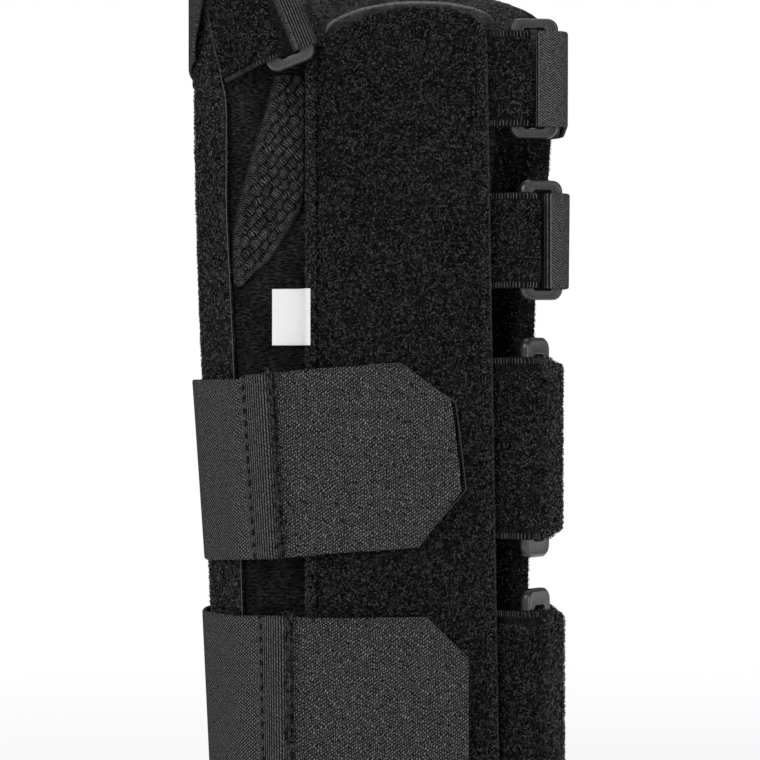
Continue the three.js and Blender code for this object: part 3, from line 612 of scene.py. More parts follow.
def thread_piece(name, paths, material, radius, tone, sides=4):
    """Threads: a profile of an even number of sides carried along each path, with closed ends."""
    count, steps = paths.shape[:2]
    ahead = unit(np.gradient(paths, axis=1))
    side = unit(np.cross(ahead, THREAD_SIDE))
    up = np.cross(side, ahead)
    turn = np.linspace(0, 2 * np.pi, sides, endpoint=False)[:, None]
    ring = np.cos(turn) * side[:, :, None] + np.sin(turn) * up[:, :, None]
    taper = np.ones(steps)
    taper[[0, -1]] = THREAD_TAPER
    wide = np.broadcast_to(radius * taper, (count, steps))
    points = paths[:, :, None] + ring * wide[:, :, None, None]
    index = np.arange(count * steps * sides).reshape(count, steps, sides)
    wrap = np.concatenate((index, index[:, :, :1]), 2)
    walls = np.stack((wrap[:, :-1, :-1], wrap[:, :-1, 1:], wrap[:, 1:, 1:], wrap[:, 1:, :-1]), -1)
    cap = np.array([(k, k + 1, sides - 2 - k, sides - 1 - k) for k in range(sides // 2 - 1)])
    ends = np.concatenate((index[:, 0][:, cap[:, ::-1]], index[:, -1][:, cap]))
    faces = np.concatenate((walls.reshape(-1, 4), ends.reshape(-1, 4)))
    shade = np.broadcast_to(np.asarray(tone, float).reshape(-1, 1, 1), (count, steps, sides)).ravel()
    return make_piece(name, points.reshape(-1, 3), faces, material, tone=shade)


def scatter(cloth, count, seed, keep=None):
    """Random spots on the outer grid, even by area, thinned by a chance, with normals and directions."""
    draw = np.random.default_rng(seed)
    grid = cloth.outer
    a, b = grid[1:, :-1] - grid[:-1, :-1], grid[:-1, 1:] - grid[:-1, :-1]
    normal = np.cross(a, b)
    chance = np.cumsum(np.linalg.norm(normal, axis=-1).ravel())
    pick = np.searchsorted(chance, draw.random(count) * chance[-1])
    i, j = np.unravel_index(np.minimum(pick, chance.size - 1), normal.shape[:2])
    spots = spot_on(grid, i + draw.random(count), j + draw.random(count))
    sign = np.sign(np.einsum("ijk,ijk->", normal, (cloth.outer - cloth.inner)[1:, 1:]))
    up, aside = unit(normal[i, j]) * sign, unit(a[i, j])
    if keep is not None:
        chosen = draw.random(count) < keep(spots)
        spots, up, aside = spots[chosen], up[chosen], aside[chosen]
    return spots, up, aside, draw


def pile_piece(name, cloth, settings, material, count, seed, size=1.0, keep=None):
    """Pile: bent slivers, each from its root to a raised three-sided waist and on to a lower free end."""
    spots, up, aside, draw = scatter(cloth, count, seed, keep)
    spots, up, aside = spots[:MOST_FIBRES], up[:MOST_FIBRES], aside[:MOST_FIBRES]
    count = len(spots)
    turn = draw.uniform(0, 2 * np.pi, (count, 1))
    run = settings.pile_length / MM * size * draw.uniform(*FIBRE_RUN, (count, 1))
    tall = settings.pile_height / MM * size * draw.uniform(*FIBRE_TALL, (count, 1))
    first = np.cos(turn) * aside + np.sin(turn) * np.cross(up, aside)
    second = np.cross(up, first)
    root = spots - run / 2 * first - FIBRE_ROOT * tall * up
    waist = spots + run * draw.uniform(-FIBRE_BEND, FIBRE_BEND, (count, 1)) * second + tall * up
    end = spots + run / 2 * first + FIBRE_END * tall * up
    ring = np.stack((second, -second, up), 1) * settings.pile_width / MM / 2 * size
    points = np.concatenate((root[:, None], waist[:, None] + ring, end[:, None]), 1).reshape(-1, 3)
    faces = (FIBRE_FACES + FIBRE_POINTS * np.arange(count)[:, None, None]).reshape(-1, 3)
    tone = np.repeat(draw.random(count) ** FIBRE_TONE, FIBRE_POINTS)
    return make_piece(name, points, faces, material, tone=tone)


# Shaders

class Ink:
    """A socket in a material's node tree; arithmetic on it adds Math nodes."""

    def __init__(self, tree, out=None):
        self.tree = tree
        self.out = out

    def node(self, kind, settings=None, inputs=None, output=0):
        """Any node by type, with its settings set first and then its sockets' values or links."""
        made = self.tree.nodes.new(kind)
        for name, value in (settings or {}).items():
            setattr(made, name, value)
        for name, value in (inputs or {}).items():
            if isinstance(value, Ink):
                self.tree.links.new(value.out, made.inputs[name])
            else:
                made.inputs[name].default_value = value
        return Ink(self.tree, made.outputs[output] if made.outputs else None)

    def math(self, operation, first, second=0.0):
        return self.node("ShaderNodeMath", {"operation": operation}, {0: first, 1: second})

    def __add__(self, other):
        return self.math("ADD", self, other)

    def __sub__(self, other):
        return self.math("SUBTRACT", self, other)

    def __rsub__(self, other):
        return self.math("SUBTRACT", other, self)

    def __mul__(self, other):
        return self.math("MULTIPLY", self, other)

    def __truediv__(self, other):
        return self.math("DIVIDE", self, other)

    def __pow__(self, other):
        return self.math("POWER", self, other)

    def __abs__(self):
        return self.math("ABSOLUTE", self)

    __radd__ = __add__
    __rmul__ = __mul__

    def wave(self, pitch):
        """Sine of a value in millimetres, from 0 to 1, once in each pitch."""
        return self.math("SINE", self * (2 * np.pi / pitch)) * 0.5 + 0.5

    def tint(self, dark, light, share):
        """Mix of two colours."""
        sides = {0: share, 6: opaque(dark), 7: opaque(light)}
        return self.node("ShaderNodeMix", {"data_type": "RGBA"}, sides, 2)

    def noise(self, scale, detail=2.0):
        """Noise in object space; scale counts its lumps in a metre."""
        place = self.node("ShaderNodeTexCoord", output=3)
        return self.lumps(place, scale, detail)

    def lumps(self, place, scale, detail):
        """Noise at a place, stretched to run from 0 to 1."""
        raw = self.node("ShaderNodeTexNoise", None, {"Vector": place, "Scale": scale, "Detail": detail})
        return self.node("ShaderNodeMapRange", None, {0: raw, 1: 0.27, 2: 0.73})

    def squiggles(self, scale):
        """Thin curly lines of about a quarter of a millimetre, where a noise crosses its middle value."""
        return 1 - abs(self.noise(scale, 1.0) - 0.5).step(0.02, 0.2)

    def step(self, low, high):
        """Smooth step of a value from 0 at low to 1 at high."""
        smooth = {"interpolation_type": "SMOOTHSTEP"}
        return self.node("ShaderNodeMapRange", smooth, {0: self, 1: low, 2: high})

    def chance(self):
        """Random number from 0 to 1 for each whole value."""
        return self.node("ShaderNodeTexWhiteNoise", {"noise_dimensions": "1D"}, {"W": self})

    def across(self):
        """Distances along and across the cloth in millimetres, from its own UV map."""
        place = self.node("ShaderNodeUVMap", {"uv_map": "cloth"})
        split = self.node("ShaderNodeSeparateXYZ", None, {0: place})
        return split, Ink(self.tree, split.out.node.outputs[1])


def opaque(value):
    """Colour with full alpha, or the socket as it is."""
    return value if isinstance(value, Ink) else (*value, 1.0)


def make_look(name, paint):
    """Material from a paint function, which gives colour, roughness, relief, its depth and fixed values."""
    name = "brace_" + name
    known = bpy.data.materials.get(name)
    if known:
        return known
    material = bpy.data.materials.new(name)
    material.use_nodes = True
    material.node_tree.nodes.clear()
    ink = Ink(material.node_tree)
    base, rough, relief, depth, fixed = paint(ink)
    sockets = {"Base Color": opaque(base), "Roughness": rough, **fixed}
    if relief is not None:
        sockets["Normal"] = ink.node("ShaderNodeBump", None, {"Distance": depth, "Height": relief})
    shader = ink.node("ShaderNodeBsdfPrincipled", None, sockets)
    ink.node("ShaderNodeOutputMaterial", None, {"Surface": shader})
    return material


def loops(ink, share):
    """Curly fibres in three sizes that lie over each other, some bright and some faint."""
    curls = ink.math("MAXIMUM", ink.squiggles(620.0), ink.squiggles(880.0) * 0.8)
    curls = ink.math("MAXIMUM", curls, ink.squiggles(1300.0) * 0.6)
    return curls * (0.15 + 0.85 * ink.noise(420.0)) * share


def curl_look(settings, name, light, share, grain):
    """Ground of curled loops between black and a light colour; grain counts its rough spots in a metre."""
    def paint(ink):
        curls = loops(ink, share)
        base = ink.tint(settings.cloth_black, light, curls)
        return base, 0.85 + 0.1 * ink.noise(grain), curls, 0.0003, MATT
    return make_look(name, paint)


def ground_look(settings):
    """Dense dark ground of curled loops under the pile."""
    return curl_look(settings, "pile_ground", settings.pile_grey, 0.17, 900.0)


def fleece_look(settings):
    """Brushed fleece, a little lighter than the pile's ground."""
    return curl_look(settings, "fleece", settings.fleece_grey, 0.26, 700.0)


def strap_look(settings):
    """Brushed loop face of the wide straps."""
    return curl_look(settings, "strap_ground", settings.strap_grey, 0.42, 800.0)


def strand_look(name, dark, light):
    """Fibres and threads, each with its own tone between two colours."""
    def paint(ink):
        tone = ink.node("ShaderNodeAttribute", {"attribute_name": "tone"}, None, 2)
        return ink.tint(dark, light, tone), 0.6 + 0.2 * ink.noise(800.0), None, 0, MATT
    return make_look(name, paint)


def fibre_look(settings, name, light):
    """Fibres from black to a light colour."""
    return strand_look(name, settings.cloth_black, light)


def lining_look(settings):
    """Soft fibres inside the flap and on its binding, painted lighter than the fleece to make up for the shade
    deep inside the flap.
    """
    return fibre_look(settings, "lining_fibre", settings.lining_painted_light_grey)


def pile_look(settings):
    """Pile fibres from black to grey."""
    return fibre_look(settings, "pile_fibre", settings.pile_grey)


def thread_look(settings):
    """Edge and seam threads from black to light grey."""
    return fibre_look(settings, "edge_thread", settings.thread_grey)


def knit_look(settings):
    """Felted knit of the liner: short dashes in light and dark clouds, with painted light making it paler
    towards the high rim.
    """
    def paint(ink):
        s, t = ink.across()
        felt = ink.lumps(ink.node("ShaderNodeCombineXYZ", None, {0: s * 0.6, 1: t * 1.9}), 1.0, 3.0)
        cloud = 0.35 + 0.65 * ink.noise(160.0)
        base = ink.tint(KNIT_GAP, settings.liner_black, (felt ** 1.6) * cloud)
        # Painted light: lighter towards the high rim, where light reaches the inside of the sleeve
        base = ink.tint(base, settings.thread_grey, t.step(*RIM_PAINTED_LIGHT) * (0.25 + 0.4 * felt) * cloud)
        return base, 0.85 + 0.1 * felt, felt, 0.00025, MATT
    return make_look("liner_knit", paint)


def roll_look():
    """Smooth rolled edge of the liner, finely grained."""
    def paint(ink):
        grain = ink.noise(1400.0, 3.0)
        return ink.tint(*ROLL_TONES, grain), 0.75 + 0.15 * grain, grain, 0.0001, MATT
    return make_look("rolled_edge", paint)


def plaited(s, t):
    """Counts across and lengths along the gusset's slanted plaits, numbers or sockets alike."""
    return (s - t * PLAIT_SLANT) * (1 / BAND), s + t * PLAIT_SLANT


def mesh_look():
    """Gusset mesh: slanted plaits of hatched bricks with dark gaps between them."""
    def paint(ink):
        band, along = plaited(*ink.across())
        stray = ink.noise(400.0) - 0.5
        band, along = band + stray * 0.6, along + stray * 1.2
        row = ink.math("FLOOR", band)
        place = along / BRICK + row * 0.5
        gap = abs(ink.math("SINE", band * np.pi)) ** 0.75
        brick = abs(ink.math("SINE", place * np.pi)) ** 0.5
        hatch = 0.05 + 0.95 * along.wave(0.85) ** 1.4
        lot = (row * 17.0 + ink.math("FLOOR", place)).chance()
        shade = hatch * gap * brick * (0.5 + 0.5 * lot)
        base = ink.tint(*MESH_TONES, shade * (0.4 + 0.6 * ink.noise(1500.0)))
        return base, 0.8 + 0.1 * gap, shade, 0.0002, MATT
    return make_look("gusset_mesh", paint)


def web_look(settings, name, pattern):
    """Grey webbing: a weave pattern gives both the relief and the shade of its yarns."""
    def paint(ink):
        relief = pattern(ink, *ink.across())
        fleck = ink.noise(1500.0, 3.0)
        base = ink.tint(settings.web_dark, settings.web_grey, relief * (0.3 + 0.7 * fleck))
        return base, 0.7 + 0.2 * fleck, relief, settings.weave_depth, MATT
    return make_look(name, paint)


def wander(ink, value, reach):
    """Value in millimetres that strays a little, so that yarns aren't ruled."""
    return value + (ink.noise(600.0) - 0.5) * reach


def plain_weave(ink, s, t, stray):
    """Plain weave: upright dashes in columns, each half a step from the next; stray bends its lines."""
    place = wander(ink, s, stray / 2) * (1 / DASH_WIDE)
    body = abs(ink.math("SINE", place * np.pi)) ** 1.3
    shift = ink.math("FLOOR", place) * (DASH_TALL / 2)
    return body * (0.05 + (wander(ink, t, stray) + shift).wave(DASH_TALL) ** 1.5)


def dashes(ink, s, t):
    """Plain weave of the strap tips, loose and lightly mottled."""
    return plain_weave(ink, s, t, 1.1) * (1.06 + 0.4 * ink.noise(900.0))


def ribs(ink, s, t):
    """Upright ribs near the seam and dashes further off; painted shade darkens the needle holes along the
    first seam row and a scruffy band along the second, where the webbing sinks into its seams.
    """
    rib = (s.wave(0.7) ** 1.3) * (0.35 + 0.65 * (wander(ink, t, 1.0) + s * 0.8).wave(1.0))
    near = s.step(-11.5, -9.0)
    cloth = plain_weave(ink, s, t, 0.4) * (1 - near) * 1.7 + rib * near
    # The two seam rows lower both the relief and the colour: a real dip, with painted shade at the needle
    # holes of the first row and in noisy patches along the second
    first = 1 - abs(wander(ink, s, 0.7) + 8.6 + t * 0.016).step(0.3, 0.9)
    second = 1 - abs(wander(ink, s, 1.6) + 1.0).step(0.3, 1.7)
    hole = wander(ink, t, 1.0).wave(HOLE_STEP).step(0.4, 0.7)
    return cloth * (1 - 0.9 * first * hole) * (1 - 0.85 * second * ink.noise(650.0).step(0.2, 0.6))


def chevrons(ink, s, t):
    """Herringbone: slanted lines that turn back at every column, after straight lines along the fold."""
    zigzag = ink.math("PINGPONG", s - 0.3, 2.35)
    bone = (wander(ink, t, 0.25) + zigzag * 0.85).wave(0.72)
    edge = s.step(0.2, 0.5)
    return (s.wave(0.8) ** 1.4) * (1 - edge) * 0.8 + bone * edge * (0.68 + 0.17 * s.wave(0.5))


def thumb_weave(ink, s, t):
    """Fine slanted grain with a band of straight ribs along its middle."""
    slant = (wander(ink, t, 0.3) + ink.math("PINGPONG", s, 0.6) * 0.9).wave(0.62)
    grain = slant * 0.6 + 0.3 * ink.noise(1500.0)
    band = abs(s - 2.9).step(2.0, 2.4)
    rib = (0.02 + 1.2 * s.wave(0.66) ** 1.5) * (0.6 + 0.4 * t.wave(0.8))
    return (grain * band + rib * (1 - band)) * 0.56


def ring_look(settings, name="ring_plastic", light=1.0):
    """Moulded plastic: satin, finely grained, with faint mottling; its grey is multiplied by a lightness,
    which on the thumb ring paints a highlight.
    """
    def paint(ink):
        grain = ink.noise(2600.0, 3.0)
        cloud = ink.noise(120.0)
        low, high = ([share * light * value for value in settings.ring_grey] for share in (0.75, 1.0))
        return ink.tint(low, high, cloud), 0.2 + 0.12 * grain, grain, 0.00002, GLOSS
    return make_look(name, paint)


def label_look(settings):
    """White woven label, bare, with a fine plain weave."""
    def paint(ink):
        s, t = ink.across()
        relief = s.wave(0.4) * t.wave(0.4)
        low = [0.88 * value for value in settings.label_white]
        return ink.tint(low, settings.label_white, relief), 0.6 + 0.1 * relief, relief, 0.00004, MATT
    return make_look("white_label", paint)


def hook_look():
    """Hook tape: rows of small dark hooks."""
    def paint(ink):
        s, t = ink.across()
        relief = s.wave(1.2) * t.wave(0.9)
        return ink.tint(*HOOK_TONES, relief), 0.5 + 0.3 * relief, relief, 0.0004, MATT
    return make_look("hook_tape", paint)


# Sleeve

def rim_columns(start, end, count):
    """Angles spread evenly along the rim's own length."""
    fine = np.linspace(start, end, 1200)
    run = run_length(np.stack((fine, 0.5 * curve(RIM, 1, fine)), -1))
    return np.interp(np.linspace(0, run[-1], count), run, fine)


def sleeve_uv(middle):
    """Distance run round the sleeve at each point, and its height."""
    around = run_length(middle[:, middle.shape[1] // 3, :2])[:, None]
    return flat_map(around, middle[..., 2])


def sleeve_columns(along, start):
    """Angles at shares of the rim's length, from a start to the flap's free edge."""
    return np.interp(along, np.linspace(0, 1, 400), rim_columns(start, SLEEVE_END, 400))[:, None]


def liner_cloth():
    """Liner: angle by share of the rim's height, half way through its thickness."""
    along, across = spaced(300, 190, 1.1), spaced(215, 84, 1.1)
    angle = sleeve_columns(along, SLEEVE_START)
    middle = skin(angle, across * curve(RIM, 1, angle), LINER_OUT / 2)
    return thicken(middle, LINER_OUT, along, across, sleeve_uv(middle), -1)


def wrap_cloth():
    """Outer wrap: as the liner, with its first columns drawn to the front edge, and a lumpy fleece face."""
    along, across = spaced(200, 130, 1.0), spaced(215, 100, 1.0)
    nominal = sleeve_columns(along, WRAP_START)
    z = across * curve(RIM, 1, nominal)
    edge = angle_at(curve(WRAP_EDGE, 1, z), z, WRAP_OUT)
    angle = nominal + (edge - WRAP_START) * (1 - ramp(nominal, WRAP_START, WRAP_FADE))
    lumps = np.random.default_rng(3).normal(0, WRAP_LUMP, z.shape) * ramp(along, 0, 0.05)[:, None]
    middle = skin(angle, z, (WRAP_IN + WRAP_OUT) / 2 + 0.1 + lumps)
    return thicken(middle, WRAP_OUT - WRAP_IN, along, across, sleeve_uv(middle), -1)


def webbed(spots):
    """Spots at the heights that the grey webbing hides."""
    z = spots[:, 2]
    return np.any([(z > web.low + 1) & (z < web.high - 1) for web in WEBS], 0)


def off_floor(spots):
    """Spots clear of the floor."""
    return spots[:, 2] > PILE_LOW


def bare(spots):
    """Spots of the wrap that show: above the floor and clear of the webbing on the thumb side."""
    return off_floor(spots) & ~(webbed(spots) & (spots[:, 0] < WEBBED_RIGHT))


def window(spots):
    """Spots of the liner that show between the wrap's front edge and the panel."""
    x, y, z = spots.T
    edge = np.interp(z, WRAP_EDGE[:, 0], WRAP_EDGE[:, 1])
    return (x > edge) & (x < WINDOW_RIGHT) & (y < WINDOW_BACK) & off_floor(spots) & ~webbed(spots)


def lined(spots):
    """Chance of fuzz on the liner's inside: high on the flap and near the back's rim, fading out below."""
    x, y, z = spots.T
    flap = FLAP_CHANCE * ramp(x, *LINED_FLAP[0]) * ramp(y, *LINED_FLAP[1])
    back = ramp(y, *LINED_BACK[0]) * ramp(z, *LINED_BACK[1])
    return off_floor(spots) * np.maximum(flap, back)


def panel_cloth():
    """Front panel: outer and under face by width, its top rolled over, a low step where a tab lies below."""
    x = np.concatenate([np.linspace(*columns) for columns in PANEL_COLUMNS])[:, None]
    across = spaced(PANEL_SPAN, 150, PANEL_EDGE)
    z = mix(PANEL_LOW, curve(PANEL, 3, x), across)
    under = np.broadcast_to(curve(PANEL, 1, x), z.shape)
    step = STEP_TALL * (1 - ramp(z, *STEP_HEIGHTS)) * ramp(x, *STEP_SPAN)
    swell = SWELL * np.sin(z / 9.1 + x / 7) * np.sin(z / 23 - x / 11)
    groove = sum(depth * np.exp(-((x - at) / reach) ** 2) for at, depth, reach in GROOVES)
    tall = curve(PANEL, 2, x) - under + step + swell - groove
    over = under + tall * (0.35 + 0.65 * edge_round(across, PANEL_SPAN, PANEL_EDGE))
    place = x + lean(x, z)
    return Cloth(front(place, z, over), front(place, z, under), flat_map(x, z))


def upright_x(spots):
    """Spots' x with the panel's lean taken off."""
    return spots[:, 0] - lean(spots[:, 0], spots[:, 2])


def piled(spots):
    """Spots of the panel that carry pile: clear of the strap tips, the left groove and the right rib."""
    x = upright_x(spots)
    clear = (np.abs(x - GROOVES[0][0]) > 0.3) & (x < PILE_RIGHT)
    return ~covered(spots) & clear & (spots[:, 2] > PANEL_PILE_LOW)


def ribbed_edge(spots):
    """Spots on the two rolled ribs along the panel's sides."""
    x = upright_x(spots)
    return ~covered(spots) & ((x > RIB_RIGHT) | (x < RIB_LEFT)) & (spots[:, 2] > PANEL_PILE_LOW)


def rib_roll():
    """Middle line of the smooth turned edge along the panel's right side."""
    z = np.linspace(*RIB_ROLL_HEIGHTS, 160)
    x = np.full(z.shape, RIB_ROLL_X)
    return front(x + lean(x, z), z, curve(PANEL, 2, x) - RIB_ROLL_SINK)[None]


def rim_roll():
    """Middle line of the rolled edge that the liner shows above the panel, and its radius at each step."""
    angle = rim_columns(*RIM_ROLL, RIM_ROLL_STEPS)
    radius = mix(*RIM_ROLL_RADII, ramp(np.arange(RIM_ROLL_STEPS), *RIM_ROLL_FADE))
    return skin(angle, curve(RIM, 1, angle) - RIM_ROLL_SINK, LINER_OUT / 2 + 0.4)[None], radius


def tip_edges(web, x):
    """Lower and upper edge of a strap tip at x, along straight lines."""
    return (np.interp(x, web.outline[:, 0], web.outline[:, column]) for column in (1, 2))


def covered(spots):
    """Spots of the panel that the strap tips hide."""
    x, z = spots[:, 0], spots[:, 2]
    hidden = np.zeros(len(spots), bool)
    for web in WEBS:
        low, high = tip_edges(web, x)
        hidden |= (x < web.outline[-1, 0] - 1) & (z > low + 1) & (z < high - 1)
    return hidden


def gusset_cloth():
    """Gusset: leaf outline by height; its bricks stand out as a product of two sines."""
    along, across = spaced(18, 60, 0.4), spaced(50, 150, 0.4)
    z = mix(GUSSET[0, 0], GUSSET[-1, 0], across)[None]
    x = mix(curve(GUSSET, 1, z), curve(GUSSET, 2, z), along[:, None])
    z = np.broadcast_to(z, x.shape)
    band, run = plaited(x, z)
    brick = np.sin(np.pi * (run / BRICK + 0.5 * np.floor(band)))
    fade = np.minimum(1, 6 * along * (1 - along))[:, None]
    relief = GUSSET_RELIEF * np.abs(np.sin(np.pi * band) * brick) ** 0.5 * fade
    middle = front(x, z, WRAP_IN + GAP + GUSSET_THICK / 2 + relief)
    return thicken(middle, GUSSET_THICK, along, across, flat_map(x, z))


def gusset_border():
    """Slanted strands across the gusset's left and lower edge."""
    z = np.linspace(GUSSET[0, 0] + 1, GUSSET[-1, 0] - 0.5, BORDER_COUNT)[:, None]
    t = np.linspace(0, 1, 4)
    lift = WRAP_IN + BORDER_LIFT - 0.25 * np.abs(2 * t - 1)
    paths = []
    for column, way in ((1, 1), (2, -1)):
        x = curve(GUSSET, column, z) + way * mix(*BORDER_REACH, t)
        keep = (x < BORDER_RIGHT).all(1)
        paths.append(front(x, z + 0.5 * way * t, lift)[keep])
    return np.concatenate(paths)


def label_cloth():
    """Label: a strip that lifts a little at its free lower corner and climbs over the panel's rib."""
    along, across = spaced(11, 16, 0.2), spaced(15, 18, 0.2)
    x, z = mix(*LABEL_X, along)[:, None], mix(*LABEL_Z, across)[None]
    free = 1 - along[:, None]
    curl = LABEL_CORNER_LIFT * free ** 2 * (1 - across) ** 2 + LABEL_END_LIFT * free ** 3
    climb = (PANEL_OUT + 0.4 - WRAP_IN) * ramp(x, *LABEL_CLIMB)
    middle = front(x, z, WRAP_IN + GAP + LABEL_THICK / 2 + curl + climb)
    return thicken(middle, LABEL_THICK, along, across, flat_map(x, z))


def binding_paths(z):
    """Path of the binding at each height: in along the inside, round the edge and back along the outside."""
    route = (
        (BINDING_LEG, BINDING_INSIDE, 0), (BINDING_FOLD, BINDING_INSIDE, BINDING_ROUND),
        (BINDING_FOLD, BINDING_OUTSIDE, BINDING_ROUND), (BINDING_LEG, BINDING_OUTSIDE, 0),
    )
    corners = [(skin(angle, z, lift)[:, :2], radius) for angle, lift, radius in route]
    return with_height(resample(rounded(corners), BINDING_STEPS, 1), z)


def off_flap(paths, z):
    """Level directions from the middle of the flap's edge to paths at the same heights."""
    return unit((paths - skin(FLAP_MIDDLE, z, LINER_OUT)[:, None]) * LEVEL)


def binding_cloth():
    """Binding: its folded path carried up the flap's edge, in small bumps."""
    across = spaced(220, 420, 0.4)
    z = mix(BINDING_LOW, BINDING_HIGH, across)
    paths = binding_paths(z)
    bumps = BUMP_TALL * np.abs(np.sin(np.pi * z / BUMP_STEP))
    paths = (paths + off_flap(paths, z) * bumps[:, None, None]).transpose(1, 0, 2)
    along = np.linspace(0, 1, BINDING_STEPS)
    return thicken(paths, BINDING_THICK, along, across, flat_map(run_length(paths), paths[..., 2]))


def binding_threads():
    """Overlock threads: a slanted turn round the flap's edge at every step of its height."""
    z = np.arange(*OVERLOCK_HEIGHTS, OVERLOCK_STEP)
    low, high = binding_paths(z - OVERLOCK_SLANT), binding_paths(z + OVERLOCK_SLANT)
    share = np.linspace(0, 1, 9)
    u, v = np.meshgrid(np.arange(len(z), dtype=float), mix(*OVERLOCK_PLACES, share), indexing="ij")
    path = mix(spot_on(low, u, v), spot_on(high, u, v), share[:, None])
    return path + OVERLOCK_LIFT * off_flap(path, z)


def binding_seam():
    """Line of the seam where the binding's front leg ends."""
    return binding_paths(np.linspace(*SEAM_HEIGHTS, SEAM_POINTS))[None, :, 1] + SEAM_SHIFT


# Closures

def ring_reach(ring):
    """Distance from a ring's middle to the middle of its side bars."""
    return (ring.width - BAR) / 2


def round_bar(thick):
    """Distances in depth and across from a bar's middle to the middle of a band that turns round it."""
    return BAR_THICK / 2 + BAR_GAP + thick / 2, BAR / 2 + BAR_GAP + thick / 2


def held_corners(fixed, count):
    """Corners that all of a strap's paths share, from places and radii."""
    return [(np.broadcast_to(place, (count, 2)), radius) for place, radius in fixed]


def ring_frame(closure):
    """Plan place from distances along the ring's width and out of its front."""
    turn = np.radians(closure.turn)
    way = np.array((np.cos(turn), np.sin(turn)))
    out = np.array((way[1], -way[0]))
    return lambda a, b: np.array((closure.x, closure.y)) + way * a + out * b


def ring_outline(width, height, corner):
    """Rectangle with rounded corners, once round from the middle of its lower side."""
    w, h = width / 2, height / 2
    spots = [np.array((x, z)) for x, z in ((0, -h), (w, -h), (w, h), (-w, h), (-w, -h), (0, -h))]
    radii = (0, corner, corner, corner, corner, 0)
    return rounded(list(zip(spots, radii)), 9)[0][:-1]


def ring_points(ring):
    """Ring: a chamfered, slightly dished section carried round its outline; x across, y deep, z tall."""
    outer = ring_outline(ring.width, ring.height, RING_CORNER)
    slot = ring_outline(ring.width - 2 * BAR, ring.slot, SLOT_CORNER)
    upper = np.concatenate((RING_SECTION, RING_SECTION[-2::-1] * (-1, 1)))
    wide, deep = np.concatenate((upper, upper[-2:0:-1] * (1, -1))).T
    centre, half = (outer + slot) / 2, (outer - slot) / 2
    plan = centre[:, None] + half[:, None] * wide[None, :, None]
    depth = np.broadcast_to(deep * BAR_THICK / 2, plan.shape[:2])
    return np.stack((plan[..., 0], depth, plan[..., 1]), -1)


def ring_piece(name, points, material):
    """Closed ring from its grid of sections."""
    rows, columns = points.shape[:2]
    index = np.arange(rows * columns).reshape(rows, columns)
    index = np.concatenate((index, index[:1]), 0)
    index = np.concatenate((index, index[:, :1]), 1)
    return make_piece(name, points.reshape(-1, 3), cells(index), material, (name,))


def placed_ring(closure):
    """Ring of one closure, turned about its upright axis and moved to its place."""
    x, y, z = np.moveaxis(ring_points(closure.ring), -1, 0)
    turn = np.radians(closure.turn)
    east, north = x * np.cos(turn) - y * np.sin(turn), x * np.sin(turn) + y * np.cos(turn)
    return np.stack((closure.x + east, closure.y + north, closure.ring_z + z), -1)


def strap_cloth(paths, thick, width, across, count, start, facing=1):
    """Strap: one path per row across its width, at even steps; its length counts from a start."""
    middle = resample(paths, count, 3).transpose(1, 0, 2)
    along = np.linspace(0, 1, count)
    run = run_length(middle) - start_run(middle, start)
    uv = np.stack((run, np.broadcast_to(across * width, run.shape)), -1)
    return thicken(middle, thick, along, across, uv, facing)


def start_run(middle, start):
    """Length at which each path of a strap passes closest to its start spot."""
    run, column = run_length(middle), np.arange(middle.shape[1])
    away = middle[..., :start.shape[-1]] - start
    step = np.argmin(np.linalg.norm(away, axis=-1), 0)
    ahead = unit(np.gradient(middle, axis=0))[step, column, :start.shape[-1]]
    return run[step, column] - (away[step, column] * ahead).sum(-1)


def with_height(plan, z):
    """Plan paths with their heights added."""
    return np.concatenate((plan, np.broadcast_to(z[:, None, None], plan.shape[:2] + (1,))), -1)


def tab_cloth(closure):
    """Tab: from under the panel over the ring's left bar, through the slot and back behind the bar."""
    spot = ring_frame(closure)
    turn, beside = round_bar(TAB_THICK)
    bar = -ring_reach(closure.ring)
    edge, slot = bar - BAR / 2, bar + beside
    across = spaced(closure.width, 16, TAB_THICK / 2)
    z = closure.strap_z + (across - 0.5) * closure.width
    lift = WRAP_IN + 0.25 + TAB_THICK / 2
    ease = ((spot(edge - 1.4, -0.8), 1.2),) if closure.turn > STEEP_TURN else ()
    fixed = ease + (
        (spot(edge - 0.6, turn + 0.1), 1.6), (spot(slot, turn), turn * SNUG),
        (spot(slot, -turn), turn * SNUG), (spot(bar + 0.3, -turn), 0),
    )
    aside = np.maximum(0, lean(TAB_LEAVE, z))
    corners = [(front(x + aside, z, lift)[:, :2], 0) for x in (TAB_START, TAB_LEAVE)]
    paths = with_height(rounded(corners + held_corners(fixed, len(z))), z)
    return strap_cloth(paths, TAB_THICK, closure.width, across, 60, paths[:, 0])


def skin_run(start, end, z, lift, count):
    """Plan corners along the skin between two angles."""
    return [(skin(angle, z, lift)[:, :2], 0) for angle in np.linspace(start, end, count)]


def settling(closure, z, outer):
    """Plan corners of a strap's last stretch, which drops from its sewn end's lap onto the wrap."""
    settle = OVER_STRAP + closure.thick / 2
    corners = []
    for share in np.linspace(SETTLE_START, 1, SETTLE_POINTS):
        low = settle if closure.tip else mix(outer, settle + 0.6, ramp(share, 0, 0.4))
        drop = mix(outer, low, ramp(share, 0, 0.1))
        angle = mix(closure.anchor - 4, closure.end, share)
        corners.append((skin(angle, z, drop)[:, :2], 0))
    return corners


def narrowing(closure, paths):
    """Share of a strap's width along it: narrow ones clipped at the tip, wide ones drawn in at the bend."""
    if closure.tip:
        at = np.linspace(0, 1, SIDE_STEPS)
        return 1 - CLIP * np.clip((at - CLIP_START) / (1 - CLIP_START), 0, 1)
    return 1 - DRAWN * np.exp(-((paths[..., 0] - closure.bend) / DRAWN_REACH) ** 2)


